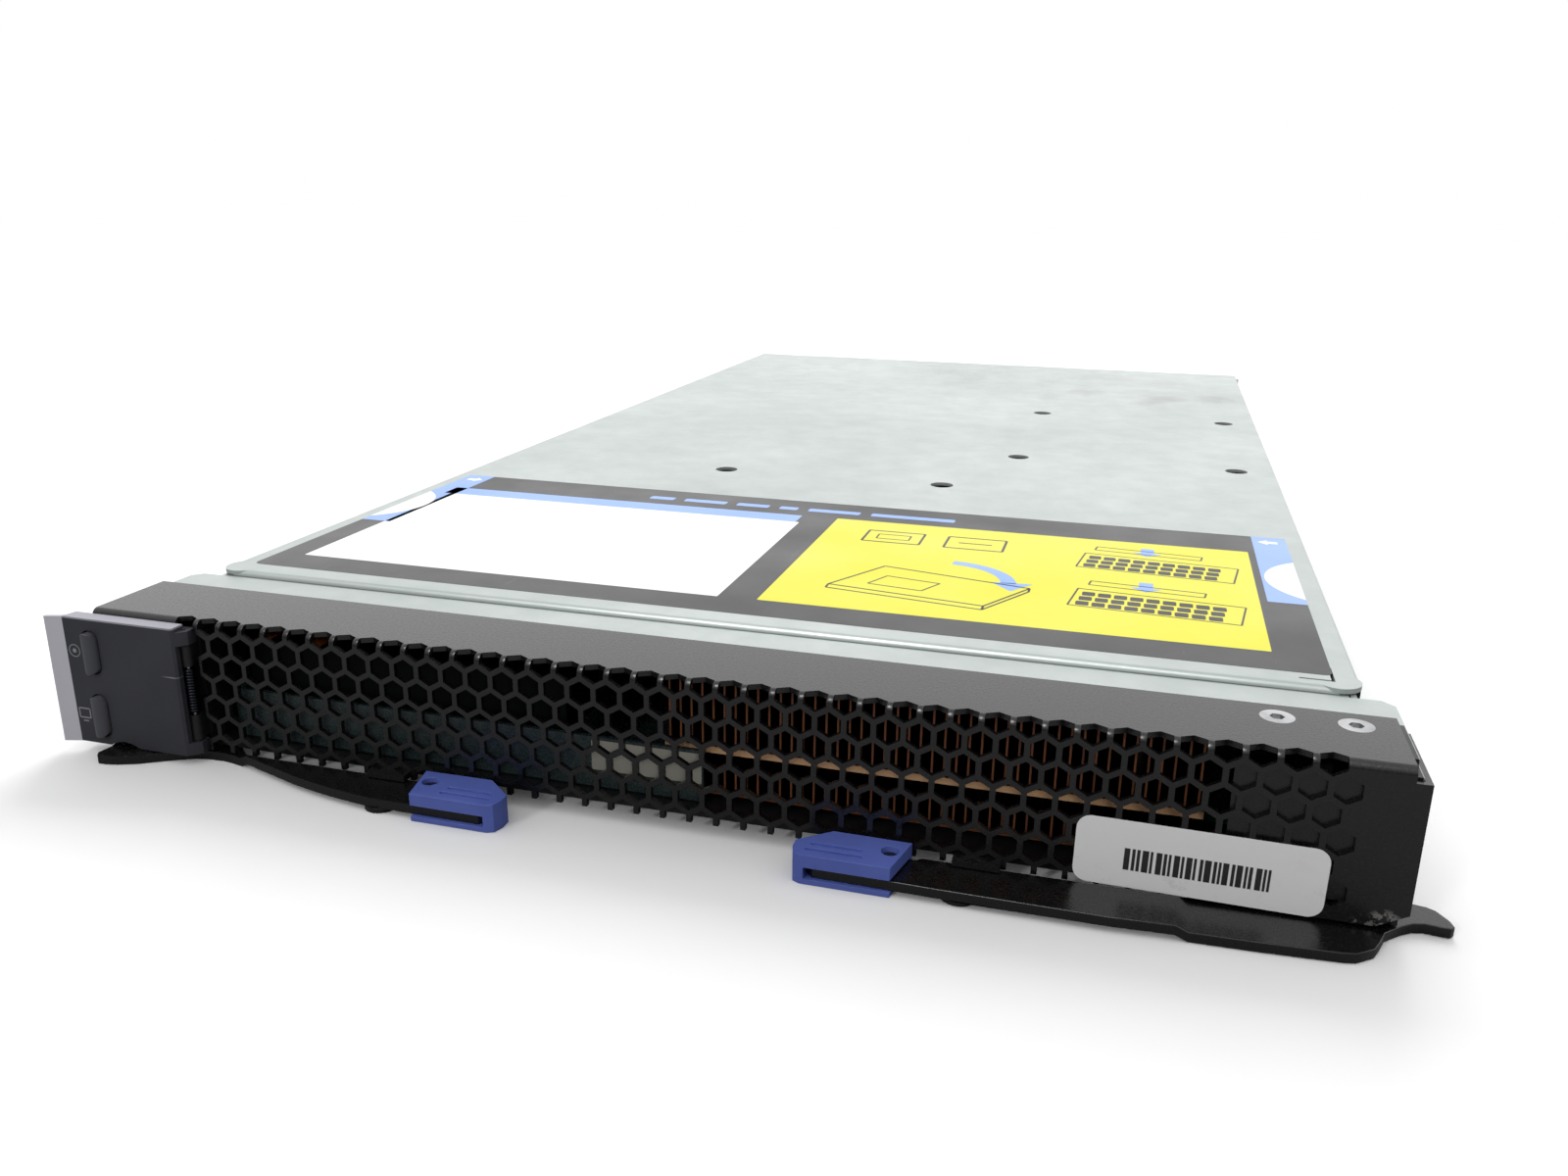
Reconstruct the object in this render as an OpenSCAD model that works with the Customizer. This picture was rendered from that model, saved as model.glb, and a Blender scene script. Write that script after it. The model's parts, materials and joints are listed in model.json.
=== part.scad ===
// Blade server lying on its base: a shallow galvanised tray with a black perforated bezel,
// two release levers, a sprung control panel door and a top cover that swings on rear studs.
// X runs across the bezel, Y runs from the bezel to the rear connectors, Z is up.
// Millimetres. The origin is the centre of the flat underside of the base.

/* [Chassis] */
// Width over the tray's side walls
body_w = 234; // [230:1:238]
// Depth from the bezel face to the back of the rear wall
body_l = 440; // [430:1:460]
// Height from the underside of the base to the top of the bezel
bezel_top = 29.7; // [29.4:0.1:31]
// Thickness of the tray's steel sheet
sheet_t = 1; // [0.8:0.1:1.2]
// Depth of the raised floor that the release levers move under
recess_l = 42; // [38:1:46]
// Clear height under the raised floor
recess_h = 2.2; // [2.1:0.05:2.4]
// Height at which the side walls step inwards to leave room for the cover
wall_step_z = 16; // [12:1:16]
// Height of the rear wall
rear_wall_h = 20; // [17:1:20]
// Distance by which the tray's front part stands out past each side of the body
front_flare = 4.4; // [3.5:0.1:5.5]
// Depth of the wide front part, up to where its sides slant in
front_wide_l = 22; // [18:0.5:24]

/* [Bezel] */
// Depth of the bezel's top strip
bezel_strip_l = 19.6; // [18:0.1:22]
// Depth of the bare lip between the bezel's top strip and the cover
lip_l = 9.9; // [8:0.1:11]
// Thickness of the bezel sheet
bezel_t = 1; // [0.8:0.1:1.2]
// Height of the bezel's lower edge above the rest plane
bezel_bottom = 2.45; // [2.3:0.05:2.7]
// Outer radius of the bend between the bezel's face and its top strip
bend_r = 1.5; // [1.3:0.1:2]
// Spacing of the hexagonal holes across the bezel
hex_pitch = 5.08; // [4.8:0.02:5.3]
// Width of each hexagonal hole across its flats
hex_flats = 4.1; // [3.6:0.05:4.2]
// Distance of the bezel screws from the bezel face
bezel_screw_y = 14.6; // [12:0.1:16]
// Distances of the bezel screws from the bezel's right side
bezel_screw_inset = [9.1, 21.1];
// Radius of the bezel screws' heads
bezel_screw_head_r = 2.8; // [2.4:0.1:3]
// Radius of the bezel screws' threads
bezel_screw_r = 1.4; // [1.2:0.1:1.6]

/* [Cover] */
// Thickness of the cover sheet
cover_t = 0.9; // [0.8:0.1:1]
// Step from the top of the bezel down to the top of the cover
cover_drop = 0.1; // [0:0.1:0.3]
// Gap between the front lip and the front edge of the cover
cover_front_gap = 1.3; // [0.6:0.1:2]
// Outer radius of the cover's folded edges
cover_bend_r = 1.4; // [1.2:0.1:2]
// Height of the cover's side flanges
cover_flange_h = 12; // [11:0.5:12]
// Radius of the rounded front corners of the cover
cover_corner_r = 4; // [2:0.5:6]
// Radius of the cover's round holes
cover_hole_r = 3.3; // [2.5:0.1:3.6]
// Centres of the cover's round holes, measured from the bezel face
cover_holes = [[-43.9, 165.3], [21.9, 165.3], [38.9, 213.6], [38.9, 302], [105.4, 213.3], [105.4, 301]];
// Distance of the cover's hinge studs from the back of the rear wall
stud_inset = 4; // [3.5:0.5:6]
// Depth of the cover's hinge studs below the top of the cover
stud_drop = 4.1; // [4:0.1:5]
// Radius of the cover's hinge studs
stud_r = 2; // [1.8:0.1:2.2]
// Distance of the cover latches from the bezel face
latch_y = 103; // [90:1:115]
// Height of the middle of the cover latches
latch_z = 22.5; // [21.8:0.1:22.8]
// Length of the cover latches' buttons
latch_l = 13; // [10:0.5:16]
// Height of the cover latches' buttons
latch_h = 5.6; // [4:0.1:6]

/* [Release levers] */
// Thickness of the lever plates
lever_t = 1.8; // [1.5:0.1:1.8]
// Height of the levers' outer parts above the rest plane
lever_low_z = 0.1; // [0.05:0.05:0.15]
// Height of the levers' inner parts above the rest plane
lever_high_z = 1; // [0.9:0.05:1.05]
// Distance of each lever pivot from the side of the tray's front part
pivot_inset = 13.4; // [12:0.1:15]
// Distance of each lever pivot behind the bezel face
pivot_y = 9; // [8:0.5:10]
// Distance from each lever's pivot to the joggle in the lever
joggle_reach = 18; // [17:0.5:20]
// Radius of the lever rivets' shanks
rivet_r = 3; // [2.5:0.1:3.4]
// Radius of the lever rivets' heads
rivet_head_r = 4.5; // [4:0.1:5]
// Distance of the right lever's grip from the middle
right_tip_x = 25.8; // [24:0.1:28]
// Distance of the left lever's grip from the middle
left_tip_x = 28.4; // [26:0.1:29]
// Height of the grips at the ends of the levers
tip_h = 5.5; // [5.2:0.1:6]
// Radius of the round hole in each grip
tip_hole_r = 1.55; // [1.3:0.05:1.8]

/* [Panel door] */
// Distance by which the door stands out beyond the side of the tray's front part
door_overhang = 3.9; // [3:0.1:5]
// Width of the lip that flares out from the door's free edge
door_lip_w = 3.7; // [3:0.1:4.5]
// Distance of the door's hinge pin from the side of the tray's front part
door_pin_inset = 22; // [21:0.5:24]
// Distance of the door's hinge pin in front of the bezel face
door_pin_y = 0.6; // [0.5:0.1:0.8]
// Radius of the door's hinge pin
door_pin_r = 0.4; // [0.35:0.05:0.5]
// Radius of the hinge barrels
barrel_r = 1.1; // [1:0.05:1.15]
// Height of the door's lower edge
door_bottom = 2.1; // [2.05:0.05:2.3]
// Step from the top of the bezel down to the top of the door
door_drop = 0.8; // [0.6:0.1:1.5]
// Distance of the door's face in front of the bezel face
door_proud = 3.4; // [3.2:0.1:3.8]
// Thickness of the door's face
door_t = 1.5; // [1.2:0.1:1.7]
// Length of the door's select buttons
button_l = 8.7; // [7:0.1:8.8]
// Width of the door's select buttons
button_w = 3.5; // [2.8:0.1:3.8]
// Radius of the power button
power_r = 3; // [2.4:0.1:3.6]

/* [Circuit board] */
// Thickness of the system board
board_t = 1.6; // [1.4:0.1:1.8]
// Height of the system board's underside
board_z = 4.4; // [4.2:0.1:4.6]
// Gap between the system board and the side walls
board_side_gap = 3.8; // [3:0.2:5]
// Distance from the bezel face to the front edge of the system board
board_y0 = 24; // [23:1:26]
// Distance from the rear wall to the rear edge of the system board
board_rear_gap = 3; // [2:0.5:5]
// Distance of the midplane connectors' centres from the sides of the body
midplane_inset = 45; // [43:0.5:47]
// Length of each midplane connector's block
midplane_l = 64; // [56:1:66]

/* [Processors] */
// Distance from the bezel face to the front heat sink
sink_y0 = 8; // [5:0.5:9]
// Gap between the two heat sinks
sink_row_gap = 16; // [10:1:20]
// Distance of the heat sinks from the right side of the body
sink_side_gap = 25.5; // [20:0.5:27]
// Gap between the drive trays and the heat sinks
sink_tray_gap = 1; // [1:0.5:3]
// Depth of each heat sink
sink_l = 88; // [82:1:90]
// Distance between the fins of a heat sink
fin_pitch = 2.1; // [1.8:0.1:3]
// Thickness of the fins of a heat sink
fin_t = 0.35; // [0.3:0.05:0.6]
// Thickness of the plate that the fins stand on
sink_plate_t = 1.2; // [1.2:0.1:2]
// Height of the underside of the plate that the fins stand on
sink_plate_z = 12.7; // [12.6:0.1:14]
// Width of a processor
cpu_w = 37.5; // [35:0.5:38]
// Height of a processor with its lid
cpu_t = 2.4; // [2:0.1:2.8]
// Width of a processor socket
socket_w = 44; // [42:0.5:46]

/* [Memory] */
// Length of a memory module
dimm_l = 133.4; // [133:0.1:134]
// Height of a memory module
dimm_h = 30; // [28:0.5:31]
// Thickness of a memory module's board
dimm_t = 1.3; // [1.2:0.1:1.4]
// Distance between neighbouring memory sockets
dimm_pitch = 19; // [18:0.5:20]
// Distance from the rear heat sink to the first memory socket
dimm_front_gap = 52; // [48:1:54]
// Height of a memory socket
dimm_socket_h = 7; // [6.6:0.1:7.2]
// Thickness of a memory socket
dimm_socket_t = 6; // [5.8:0.1:6.4]
// Length of a memory socket beyond each end of its module
dimm_socket_end = 4.5; // [4.4:0.1:5]
// Height of the chips on a memory module
chip_h = 12; // [10:0.5:13]
// Height of the memory latches
dimm_latch_h = 24; // [23.4:0.1:26]
// Middle of the memory sockets across the blade
dimm_x = -24; // [-26:1:-22]
// Lean of the memory modules from upright
dimm_lean = 62; // [60:1:64]

/* [Drives] */
// Width of a drive
drive_w = 70; // [69.5:0.1:70.5]
// Length of a drive
drive_l = 100; // [99.5:0.1:101]
// Height of a drive
drive_h = 15; // [9.5:0.5:16]
// Distance of the drive trays from the side of the chassis
tray_inset = 22; // [21:0.5:23]
// Distance from the bezel face to the front drive tray
tray_y0 = 6.2; // [5.5:0.1:8]
// Height of the drive trays' front flange
tray_flange_h = 7.1; // [5:0.1:7.5]
// Reach of the drive levers from their pivots
drive_lever_l = 25; // [22:0.5:26]

/* [Clearances] */
// Gap between pieces that are laid side by side
seat_gap = 0.3; // [0.2:0.05:0.4]
// Radial gap of a pin that turns in its bore
turn_gap = 0.05; // [0.03:0.01:0.08]
// Gap around a button in its opening
button_gap = 0.3; // [0.2:0.05:0.35]
// Radial gap of a screw in its hole
screw_gap = 0.2; // [0.1:0.05:0.3]
// Gap between the levers and what lies over them
lever_gap = 0.2; // [0.15:0.05:0.3]

/* [Hidden] */
$fn = 48;
eps = 0.01;

origin_y = (recess_l + body_l) / 2;
half_w = body_w / 2;
half_front = half_w + front_flare;
half_bezel = half_front + 0.1 + bezel_t;
floor_top = recess_h + sheet_t;
cover_top = bezel_top - cover_drop;
rail_top = bezel_top - bezel_t;
rail_z = rail_top - sheet_t;
rail_y0 = bezel_t + 5;
floor_y0 = bezel_t + 2;
wall_front_y = bezel_t + 0.5;
lip_y1 = bezel_strip_l + lip_l;
cover_y0 = lip_y1 + cover_front_gap;
wall_in = half_w - cover_t - seat_gap;
wall_top = cover_top - cover_t - seat_gap;
wall_y0 = lip_y1 + 0.5;

row_pitch = hex_pitch * sin(60);
hex_r = hex_flats / 2 / cos(30);
hex_z0 = bezel_bottom + 4.65;

pivot_x = half_front - pivot_inset;
joggle_x = pivot_x - joggle_reach;
door_fold_x = half_front + door_overhang;
door_pin_x = half_front - door_pin_inset;
door_edge_x = door_pin_x + barrel_r + 0.35;
door_face_x = door_pin_x + 0.3;
door_top = bezel_top - door_drop;
door_inner_top = bezel_top - bend_r - 0.3;
door_front_y = -door_proud;
grille_x0 = -door_pin_x + 2.1;
hex_x0 = grille_x0 + 2.65;
panel_y0 = 2.2;
panel_y1 = 15;
power_x = -half_front + 11.4;
power_z = (floor_top + rail_z) / 2;
slot_x = -half_front + 1.65;
disc_z = door_inner_top - 6.1;
console_z = door_bottom + 6.2;
barrel_low = [door_bottom + 2.8, door_bottom + 8];
barrel_high = [door_top - 8.4, door_top - 4.1];

stud_y = body_l - stud_inset;
stud_z = cover_top - stud_drop;

board_top = board_z + board_t;
board_w = 2 * (wall_in - sheet_t - board_side_gap);
board_y1 = body_l - sheet_t - board_rear_gap;

tray_l = drive_l + 4;
tray_w = drive_w + 21;
tray_x0 = -half_w + tray_inset;
tray_x1 = tray_x0 + tray_w;
tray_y = [tray_y0, tray_y0 + tray_l + 14];
tray_z = board_top + 0.5;

sink_w = half_w - sink_side_gap - tray_x1 - sink_tray_gap;
cpu_x = tray_x1 + sink_tray_gap + sink_w / 2;
cpu_y = [sink_y0 + sink_l / 2, sink_y0 + sink_l * 1.5 + sink_row_gap];
sink_y1 = cpu_y[1] + sink_l / 2;
socket_h = 3.2;
cpu_z = board_top + socket_h - 1.4;
fin_top = rail_z - 0.5;
fin_count = floor((sink_w - fin_t) / fin_pitch);
sink_screw_dx = sink_w / 2 - 10.5;
sink_screw_dy = cpu_w / 2 + 5.25;

dimm_y0 = sink_y1 + dimm_front_gap;
dimm_socket_l = dimm_l + 2 * dimm_socket_end;
dimm_pivot_x = dimm_l / 2 + 2;

dimm_y1 = dimm_y0 + 3 * dimm_pitch + (dimm_h + 3.1) * sin(dimm_lean);
standoff_x = [-board_w / 2 + 11, tray_x1 + 4, board_w / 2 - 11];
standoff_y = [board_y0 + 36, sink_y1 + dimm_front_gap - 14, dimm_y1 + 11.8, body_l - 35];
battery_r = 10;
chipset_w = 36;
chipset_at = [board_w / 2 - chipset_w / 2 - 5, dimm_y0 + chipset_w / 2 - 2];
battery_at = [board_w / 2 - battery_r - 13, chipset_at[1] + chipset_w / 2 + battery_r + 34];
regulator_pitch = (sink_w - 11) / 7;
coil_h = 7;
coil_y = sink_y1 + 16;
plug_l = 17;
plug_h = 12;
capacitor_r = 4;
capacitor_h = 11;
capacitor_y = (battery_at[1] + battery_r + board_y1 - plug_l - 1) / 2;
drive_socket_l = 44;
drive_socket_h = 9;

GALVANISED = [0.80, 0.83, 0.82];
BLACK = [0.14, 0.14, 0.16];
BLUE = [0.33, 0.40, 0.75];
COPPER = [0.72, 0.43, 0.25];
BOARD_GREEN = [0.10, 0.32, 0.20];
STEEL = [0.78, 0.78, 0.78];
DARK_GREY = [0.23, 0.24, 0.27];

// ---------- shared shapes ----------

// Moves a piece from the bezel-face frame to the part's origin.
module placed() {
    translate([0, -origin_y, 0]) children();
}

// A box given by its lowest and highest corners.
module box(low, high) {
    translate(low) cube(high - low);
}

// A cylinder along Z from z0 to z1.
module post(x, y, z0, z1, r) {
    translate([x, y, z0]) cylinder(h = z1 - z0, r = r);
}

// A cylinder along X from x0 to x1.
module x_post(x0, x1, y, z, r) {
    translate([x0, y, z]) rotate([0, 90, 0]) cylinder(h = x1 - x0, r = r);
}

// A cylinder along Y from y0 to y1.
module y_post(x, y0, y1, z, r) {
    translate([x, y0, z]) rotate([-90, 0, 0]) cylinder(h = y1 - y0, r = r);
}

// Keeps a shape drawn for the right side, or mirrors it to the left side.
module on_side(side) {
    if (side > 0) children();
    else mirror([1, 0, 0]) children();
}

// Extrudes an outline drawn in the XZ plane along +Y from y0 to y1.
module along_y(y0, y1) {
    translate([0, y1, 0]) rotate([90, 0, 0]) linear_extrude(height = y1 - y0) children();
}

// Extrudes an outline drawn in the YZ plane along +X from x0 to x1.
module along_x(x0, x1) {
    translate([x0, 0, 0]) rotate([90, 0, 90]) linear_extrude(height = x1 - x0) children();
}

// A flat rectangle given by its corners.
module flat(low, high) {
    translate(low) square(high - low);
}

// An upright slot with round ends, centred on the origin.
module slot_outline(w, l) {
    square([w, l - w], center = true);
    for (s = [-1, 1]) translate([0, s * (l - w) / 2]) circle(d = w);
}

// ---------- chassis ----------

// The side wall in the XZ plane, stepped inwards where the cover's flange hangs outside it.
module side_wall_outline() {
    t = sheet_t;
    step = half_w - wall_in;
    polygon([
        [half_w - t, 0], [half_w, 0], [half_w, wall_step_z],
        [wall_in, wall_step_z + step], [wall_in, wall_top], [wall_in - t, wall_top],
        [wall_in - t, wall_step_z + step - 0.4], [half_w - t, wall_step_z - 0.4]
    ]);
}

// The front side wall seen from above, slanting in to the width of the tray.
module front_wall_plan() {
    t = sheet_t;
    slant = half_front - half_w;
    polygon([
        [half_front, wall_front_y], [half_front, front_wide_l],
        [half_w, front_wide_l + 1.4 * slant], [half_w, wall_y0 + 1],
        [wall_in - t, wall_y0 + 1], [wall_in - t, front_wide_l + 1.4 * slant],
        [half_front - t, front_wide_l - 0.4], [half_front - t, wall_front_y]
    ]);
}

// The raised floor over the levers, seen from above.
module raised_floor_plan() {
    slant = half_front - half_w;
    polygon([
        [-half_front, floor_y0], [half_front, floor_y0], [half_front, front_wide_l],
        [half_w, front_wide_l + 1.4 * slant], [half_w, recess_l], [-half_w, recess_l],
        [-half_w, front_wide_l + 1.4 * slant], [-half_front, front_wide_l]
    ]);
}

// What is cut off the rear corners of the side walls so that the cover can swing up, in YZ.
module rear_corner_relief() {
    r = wall_top - stud_z;
    difference() {
        flat([stud_y, rear_wall_h + 0.5], [body_l + 1, cover_top]);
        translate([stud_y, stud_z]) circle(r = r);
        flat([stud_y - 1, rear_wall_h], [stud_y + r, stud_z]);
    }
}

module latch_opening(x0, x1) {
    g = button_gap;
    box([x0, latch_y - latch_l / 2 - g, latch_z - latch_h / 2 - g],
        [x1, latch_y + latch_l / 2 + g, latch_z + latch_h / 2 + g]);
}

module chassis_tray() {
    t = sheet_t;
    vent_w = 4;
    vent_pitch = 8;
    vent_reach = 24;
    color(GALVANISED) placed() difference() {
        union() {
            box([-half_w, recess_l - t, 0], [half_w, body_l, t]);
            box([-half_w, recess_l - t, 0], [half_w, recess_l, floor_top]);
            translate([0, 0, recess_h]) linear_extrude(height = t) raised_floor_plan();
            for (side = [-1, 1]) on_side(side) {
                difference() {
                    along_y(wall_y0, body_l) side_wall_outline();
                    box([0, wall_y0 - 1, -1], [half_w + 1, recess_l - t, recess_h]);
                }
                translate([0, 0, recess_h]) linear_extrude(height = rail_z - recess_h) front_wall_plan();
            }
            box([-half_w + t, body_l - t, 0], [half_w - t, body_l, rear_wall_h]);
        }
        for (side = [-1, 1]) {
            post(side * pivot_x, pivot_y, recess_h - 1, floor_top + 1, rivet_r + turn_gap);
            on_side(side) latch_opening(wall_in - t - 1, wall_in + 1);
            on_side(side) x_post(wall_in - t - 1, wall_in + 1, stud_y, stud_z, stud_r - 0.5);
        }
        along_x(-half_w - 1, half_w + 1) rear_corner_relief();
        // openings for the connectors that plug into the midplane
        for (side = [-1, 1]) let (x = side * (half_w - midplane_inset))
            box([x - midplane_l / 2 - 1, body_l - t - 1, 5], [x + midplane_l / 2 + 1, body_l + 1, rear_wall_h + 1]);
        // exhaust slots between the connectors
        for (x = [-vent_reach : vent_pitch : vent_reach])
            box([x - vent_w / 2, body_l - t - 1, 6], [x + vent_w / 2, body_l + 1, 16]);
    }
}

// Flat rail that the bezel is screwed to. Its rear part is the bare lip before the cover, with a
// joggled tongue that runs in under the cover's front edge.
module front_top_rail() {
    corner = 2;
    joggle = 0.3;
    tongue_x = wall_in - sheet_t - seat_gap;
    color(GALVANISED) placed() difference() {
        union() {
            translate([0, 0, rail_z]) linear_extrude(height = sheet_t) polygon([
                [-half_front, rail_y0], [half_front, rail_y0], [half_front, lip_y1 - corner],
                [half_front - corner, lip_y1], [-half_front + corner, lip_y1], [-half_front, lip_y1 - corner]
            ]);
            box([-tongue_x, lip_y1 - 3, rail_z - joggle], [tongue_x, cover_y0 + 2.4, rail_top - joggle]);
        }
        for (inset = bezel_screw_inset)
            post(half_bezel - inset, bezel_screw_y, rail_z - 1, rail_top + 1, bezel_screw_r + screw_gap);
    }
}

// ---------- bezel ----------

module hex_hole(x, z) {
    translate([x, z]) rotate(30) circle(r = hex_r, $fn = 6);
}

// The bezel's face: five rows of hexagonal holes, and a sixth row cut off by the lower edge. The
// left edge cuts through the first hole of every other row.
module bezel_face_outline() {
    relief = 2.4;
    face_end = half_bezel - 10.5;
    teeth_end = half_bezel - 20;
    difference() {
        polygon([
            [grille_x0, bezel_bottom], [half_bezel - 4.7, bezel_bottom], [half_bezel, bezel_bottom + 2.6],
            [half_bezel, bezel_top - relief], [half_bezel - relief, bezel_top - relief],
            [half_bezel - relief, bezel_top - bend_r], [grille_x0, bezel_top - bend_r]
        ]);
        for (row = [-1 : 4]) {
            x0 = hex_x0 - ((row + 1) % 2 == 0 ? 0 : hex_pitch / 2);
            x1 = row < 0 ? teeth_end : face_end;
            for (x = [x0 : hex_pitch : x1]) hex_hole(x, hex_z0 + row * row_pitch);
        }
    }
}

// Profile of the bezel's upper edge and top strip in the YZ plane.
module bezel_bend_outline() {
    t = bezel_t;
    z = bezel_top - bend_r;
    difference() {
        union() {
            translate([bend_r, z]) circle(r = bend_r);
            flat([bend_r, bezel_top - t], [bezel_strip_l, bezel_top]);
            flat([0, z - eps], [t, z]);
        }
        translate([bend_r, z]) circle(r = bend_r - t);
        flat([-1, z - bend_r - 1], [bend_r + 1, z - eps]);
        flat([bend_r, z - bend_r - 1], [2 * bend_r + 1, bezel_top - t]);
    }
}

// A hexagonal hole that was punched across the bend line before the sheet was bent: its lower
// corner is on the face and its upper corner on the top strip.
module bend_hole(x) {
    w = hex_flats / 2;
    z = hex_z0 + 5 * row_pitch;
    along_y(-1, bezel_t + 0.5) hex_hole(x, z);
    translate([0, 0, z - hex_r / 2]) linear_extrude(height = 5) polygon([
        [x - w, -1], [x + w, -1], [x + w, bend_r], [x, bend_r + 1.1], [x - w, bend_r]
    ]);
}

module front_bezel() {
    lug_x = 56;
    lug_z = lever_high_z + lever_t + lever_gap;
    blind_x0 = half_bezel - 27.9;
    relief = 2.4;
    color(BLACK) placed() difference() {
        union() {
            difference() {
                union() {
                    along_y(0, bezel_t) bezel_face_outline();
                    along_x(-half_bezel + 1, half_bezel - relief) bezel_bend_outline();
                }
                for (x = [hex_x0 - hex_pitch : hex_pitch : half_bezel - 10.5]) bend_hole(x);
            }
            // right-hand return; the door takes its place on the left
            box([half_bezel - bezel_t, 0, bezel_bottom + 3], [half_bezel, bezel_strip_l, bezel_top - relief]);
            // plate that closes the last columns from behind
            box([blind_x0, bezel_t - eps, bezel_bottom + 3], [half_bezel - bezel_t + eps, bezel_t + 0.4, rail_z - 1]);
            // lugs over the closed levers
            for (side = [-1, 1]) on_side(side) box([lug_x - 4, -2.2, lug_z], [lug_x + 4, bezel_t, lug_z + 1.2]);
        }
        for (inset = bezel_screw_inset) translate([half_bezel - inset, bezel_screw_y, rail_top - eps])
            cylinder(h = bezel_t + 2 * eps, r1 = bezel_screw_r + 0.05, r2 = bezel_screw_head_r + 0.07);
    }
}

module bezel_screws() {
    shank = 4;
    color(STEEL) placed() for (inset = bezel_screw_inset)
        translate([half_bezel - inset, bezel_screw_y, 0]) difference() {
            union() {
                translate([0, 0, rail_top]) cylinder(h = bezel_t - 0.02, r1 = bezel_screw_r, r2 = bezel_screw_head_r);
                post(0, 0, rail_top - shank, rail_top + eps, bezel_screw_r);
            }
            translate([0, 0, bezel_top - 0.7]) cylinder(h = 2, r = 1.25, $fn = 6);
        }
}

// ---------- circuit board and what stands on it ----------

module system_board() {
    color(BOARD_GREEN) placed() difference() {
        box([-board_w / 2, board_y0, board_z], [board_w / 2, board_y1, board_top]);
        for (x = standoff_x) for (y = standoff_y) post(x, y, board_z - 1, board_top + 1, 1.3 + screw_gap);
    }
}

module board_standoffs() {
    color(STEEL) placed() for (x = standoff_x) for (y = standoff_y) difference() {
        post(x, y, sheet_t, board_z, 3);
        post(x, y, board_z - 2.6, board_z + 1, 1.35);
    }
}

module board_screws() {
    color(STEEL) placed() for (x = standoff_x) for (y = standoff_y) difference() {
        union() {
            post(x, y, board_top, board_top + 1.6, 2.8);
            post(x, y, board_z - 2, board_top + eps, 1.3);
        }
        post(x, y, board_top + 0.7, board_top + 2, 1.1);
    }
}

module cpu_socket(y) {
    rim = cpu_w / 2 + 0.2;
    color(DARK_GREY) placed() difference() {
        box([cpu_x - socket_w / 2, y - socket_w / 2, board_top],
            [cpu_x + socket_w / 2, y + socket_w / 2, board_top + socket_h]);
        box([cpu_x - rim, y - rim, cpu_z], [cpu_x + rim, y + rim, board_top + socket_h + 1]);
        box([cpu_x - 8, y - 8, board_top - 1], [cpu_x + 8, y + 8, board_top + socket_h + 1]);
    }
}

module processor(y) {
    lid = cpu_w - 5.5;
    color(STEEL) placed() {
        box([cpu_x - cpu_w / 2, y - cpu_w / 2, cpu_z], [cpu_x + cpu_w / 2, y + cpu_w / 2, cpu_z + 1]);
        box([cpu_x - lid / 2, y - lid / 2, cpu_z + 1 - eps], [cpu_x + lid / 2, y + lid / 2, cpu_z + cpu_t]);
    }
}

module fin_comb(z0, z1) {
    x0 = -fin_count * fin_pitch / 2;
    for (i = [0 : fin_count]) translate([x0 + i * fin_pitch, 0]) flat([-fin_t / 2, z0], [fin_t / 2, z1]);
}

// Copper heat sink: a plate with tall fins on top, short fins under its front part and a
// pedestal that presses on the processor. The short fins are notched below the plate's front edge.
module heat_sink(y) {
    y0 = y - sink_l / 2;
    y1 = y + sink_l / 2;
    z0 = sink_plate_z;
    z1 = sink_plate_z + sink_plate_t;
    low_l = 14;
    low_z = floor_top + 1.3;
    notch = [4, 2.6];
    color(COPPER) placed() difference() {
        union() {
            box([cpu_x - sink_w / 2, y0, z0], [cpu_x + sink_w / 2, y1, z1]);
            translate([cpu_x, 0, 0]) along_y(y0, y1) fin_comb(z1 - eps, fin_top);
            if (y < cpu_y[1]) {
                translate([cpu_x, 0, 0]) along_y(y0, y0 + notch[0]) fin_comb(low_z + 0.3, z0 - notch[1]);
                translate([cpu_x, 0, 0]) along_y(y0 + notch[0] - eps, y0 + low_l) fin_comb(low_z + 0.3, z0 + eps);
                box([cpu_x - sink_w / 2, y0, low_z], [cpu_x + sink_w / 2, y0 + low_l, low_z + 0.4]);
            }
            box([cpu_x - cpu_w / 2, y - cpu_w / 2, cpu_z + cpu_t], [cpu_x + cpu_w / 2, y + cpu_w / 2, z0 + eps]);
        }
        for (sx = [-1, 1]) for (sy = [-1, 1])
            translate([cpu_x + sx * sink_screw_dx, y + sy * sink_screw_dy, 0]) {
                post(0, 0, z0 - 1, z1 + 1, 1.7 + screw_gap);
                post(0, 0, z1, fin_top + 1, 4.4);
            }
    }
}

// Sprung screws of the heat sinks, with the collars that they stand on.
module heat_sink_screws() {
    z1 = sink_plate_z + sink_plate_t;
    collar_z = sink_plate_z - 3;
    color(STEEL) placed() for (y = cpu_y) for (sx = [-1, 1]) for (sy = [-1, 1])
        translate([cpu_x + sx * sink_screw_dx, y + sy * sink_screw_dy, 0]) difference() {
            union() {
                post(0, 0, z1, z1 + 5, 3.6);
                post(0, 0, collar_z, z1 + eps, 1.7);
                post(0, 0, board_top, collar_z + eps, 3);
            }
            post(0, 0, z1 + 3.4, z1 + 6, 1.5);
        }
}

// ---------- memory ----------

// The leaning frame of one memory socket: X along the socket, Z up the module.
module dimm_frame(i) {
    translate([dimm_x, dimm_y0 + (i - 1) * dimm_pitch, board_top + dimm_socket_t / 2 * sin(dimm_lean)])
        rotate([-dimm_lean, 0, 0]) children();
}

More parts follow.
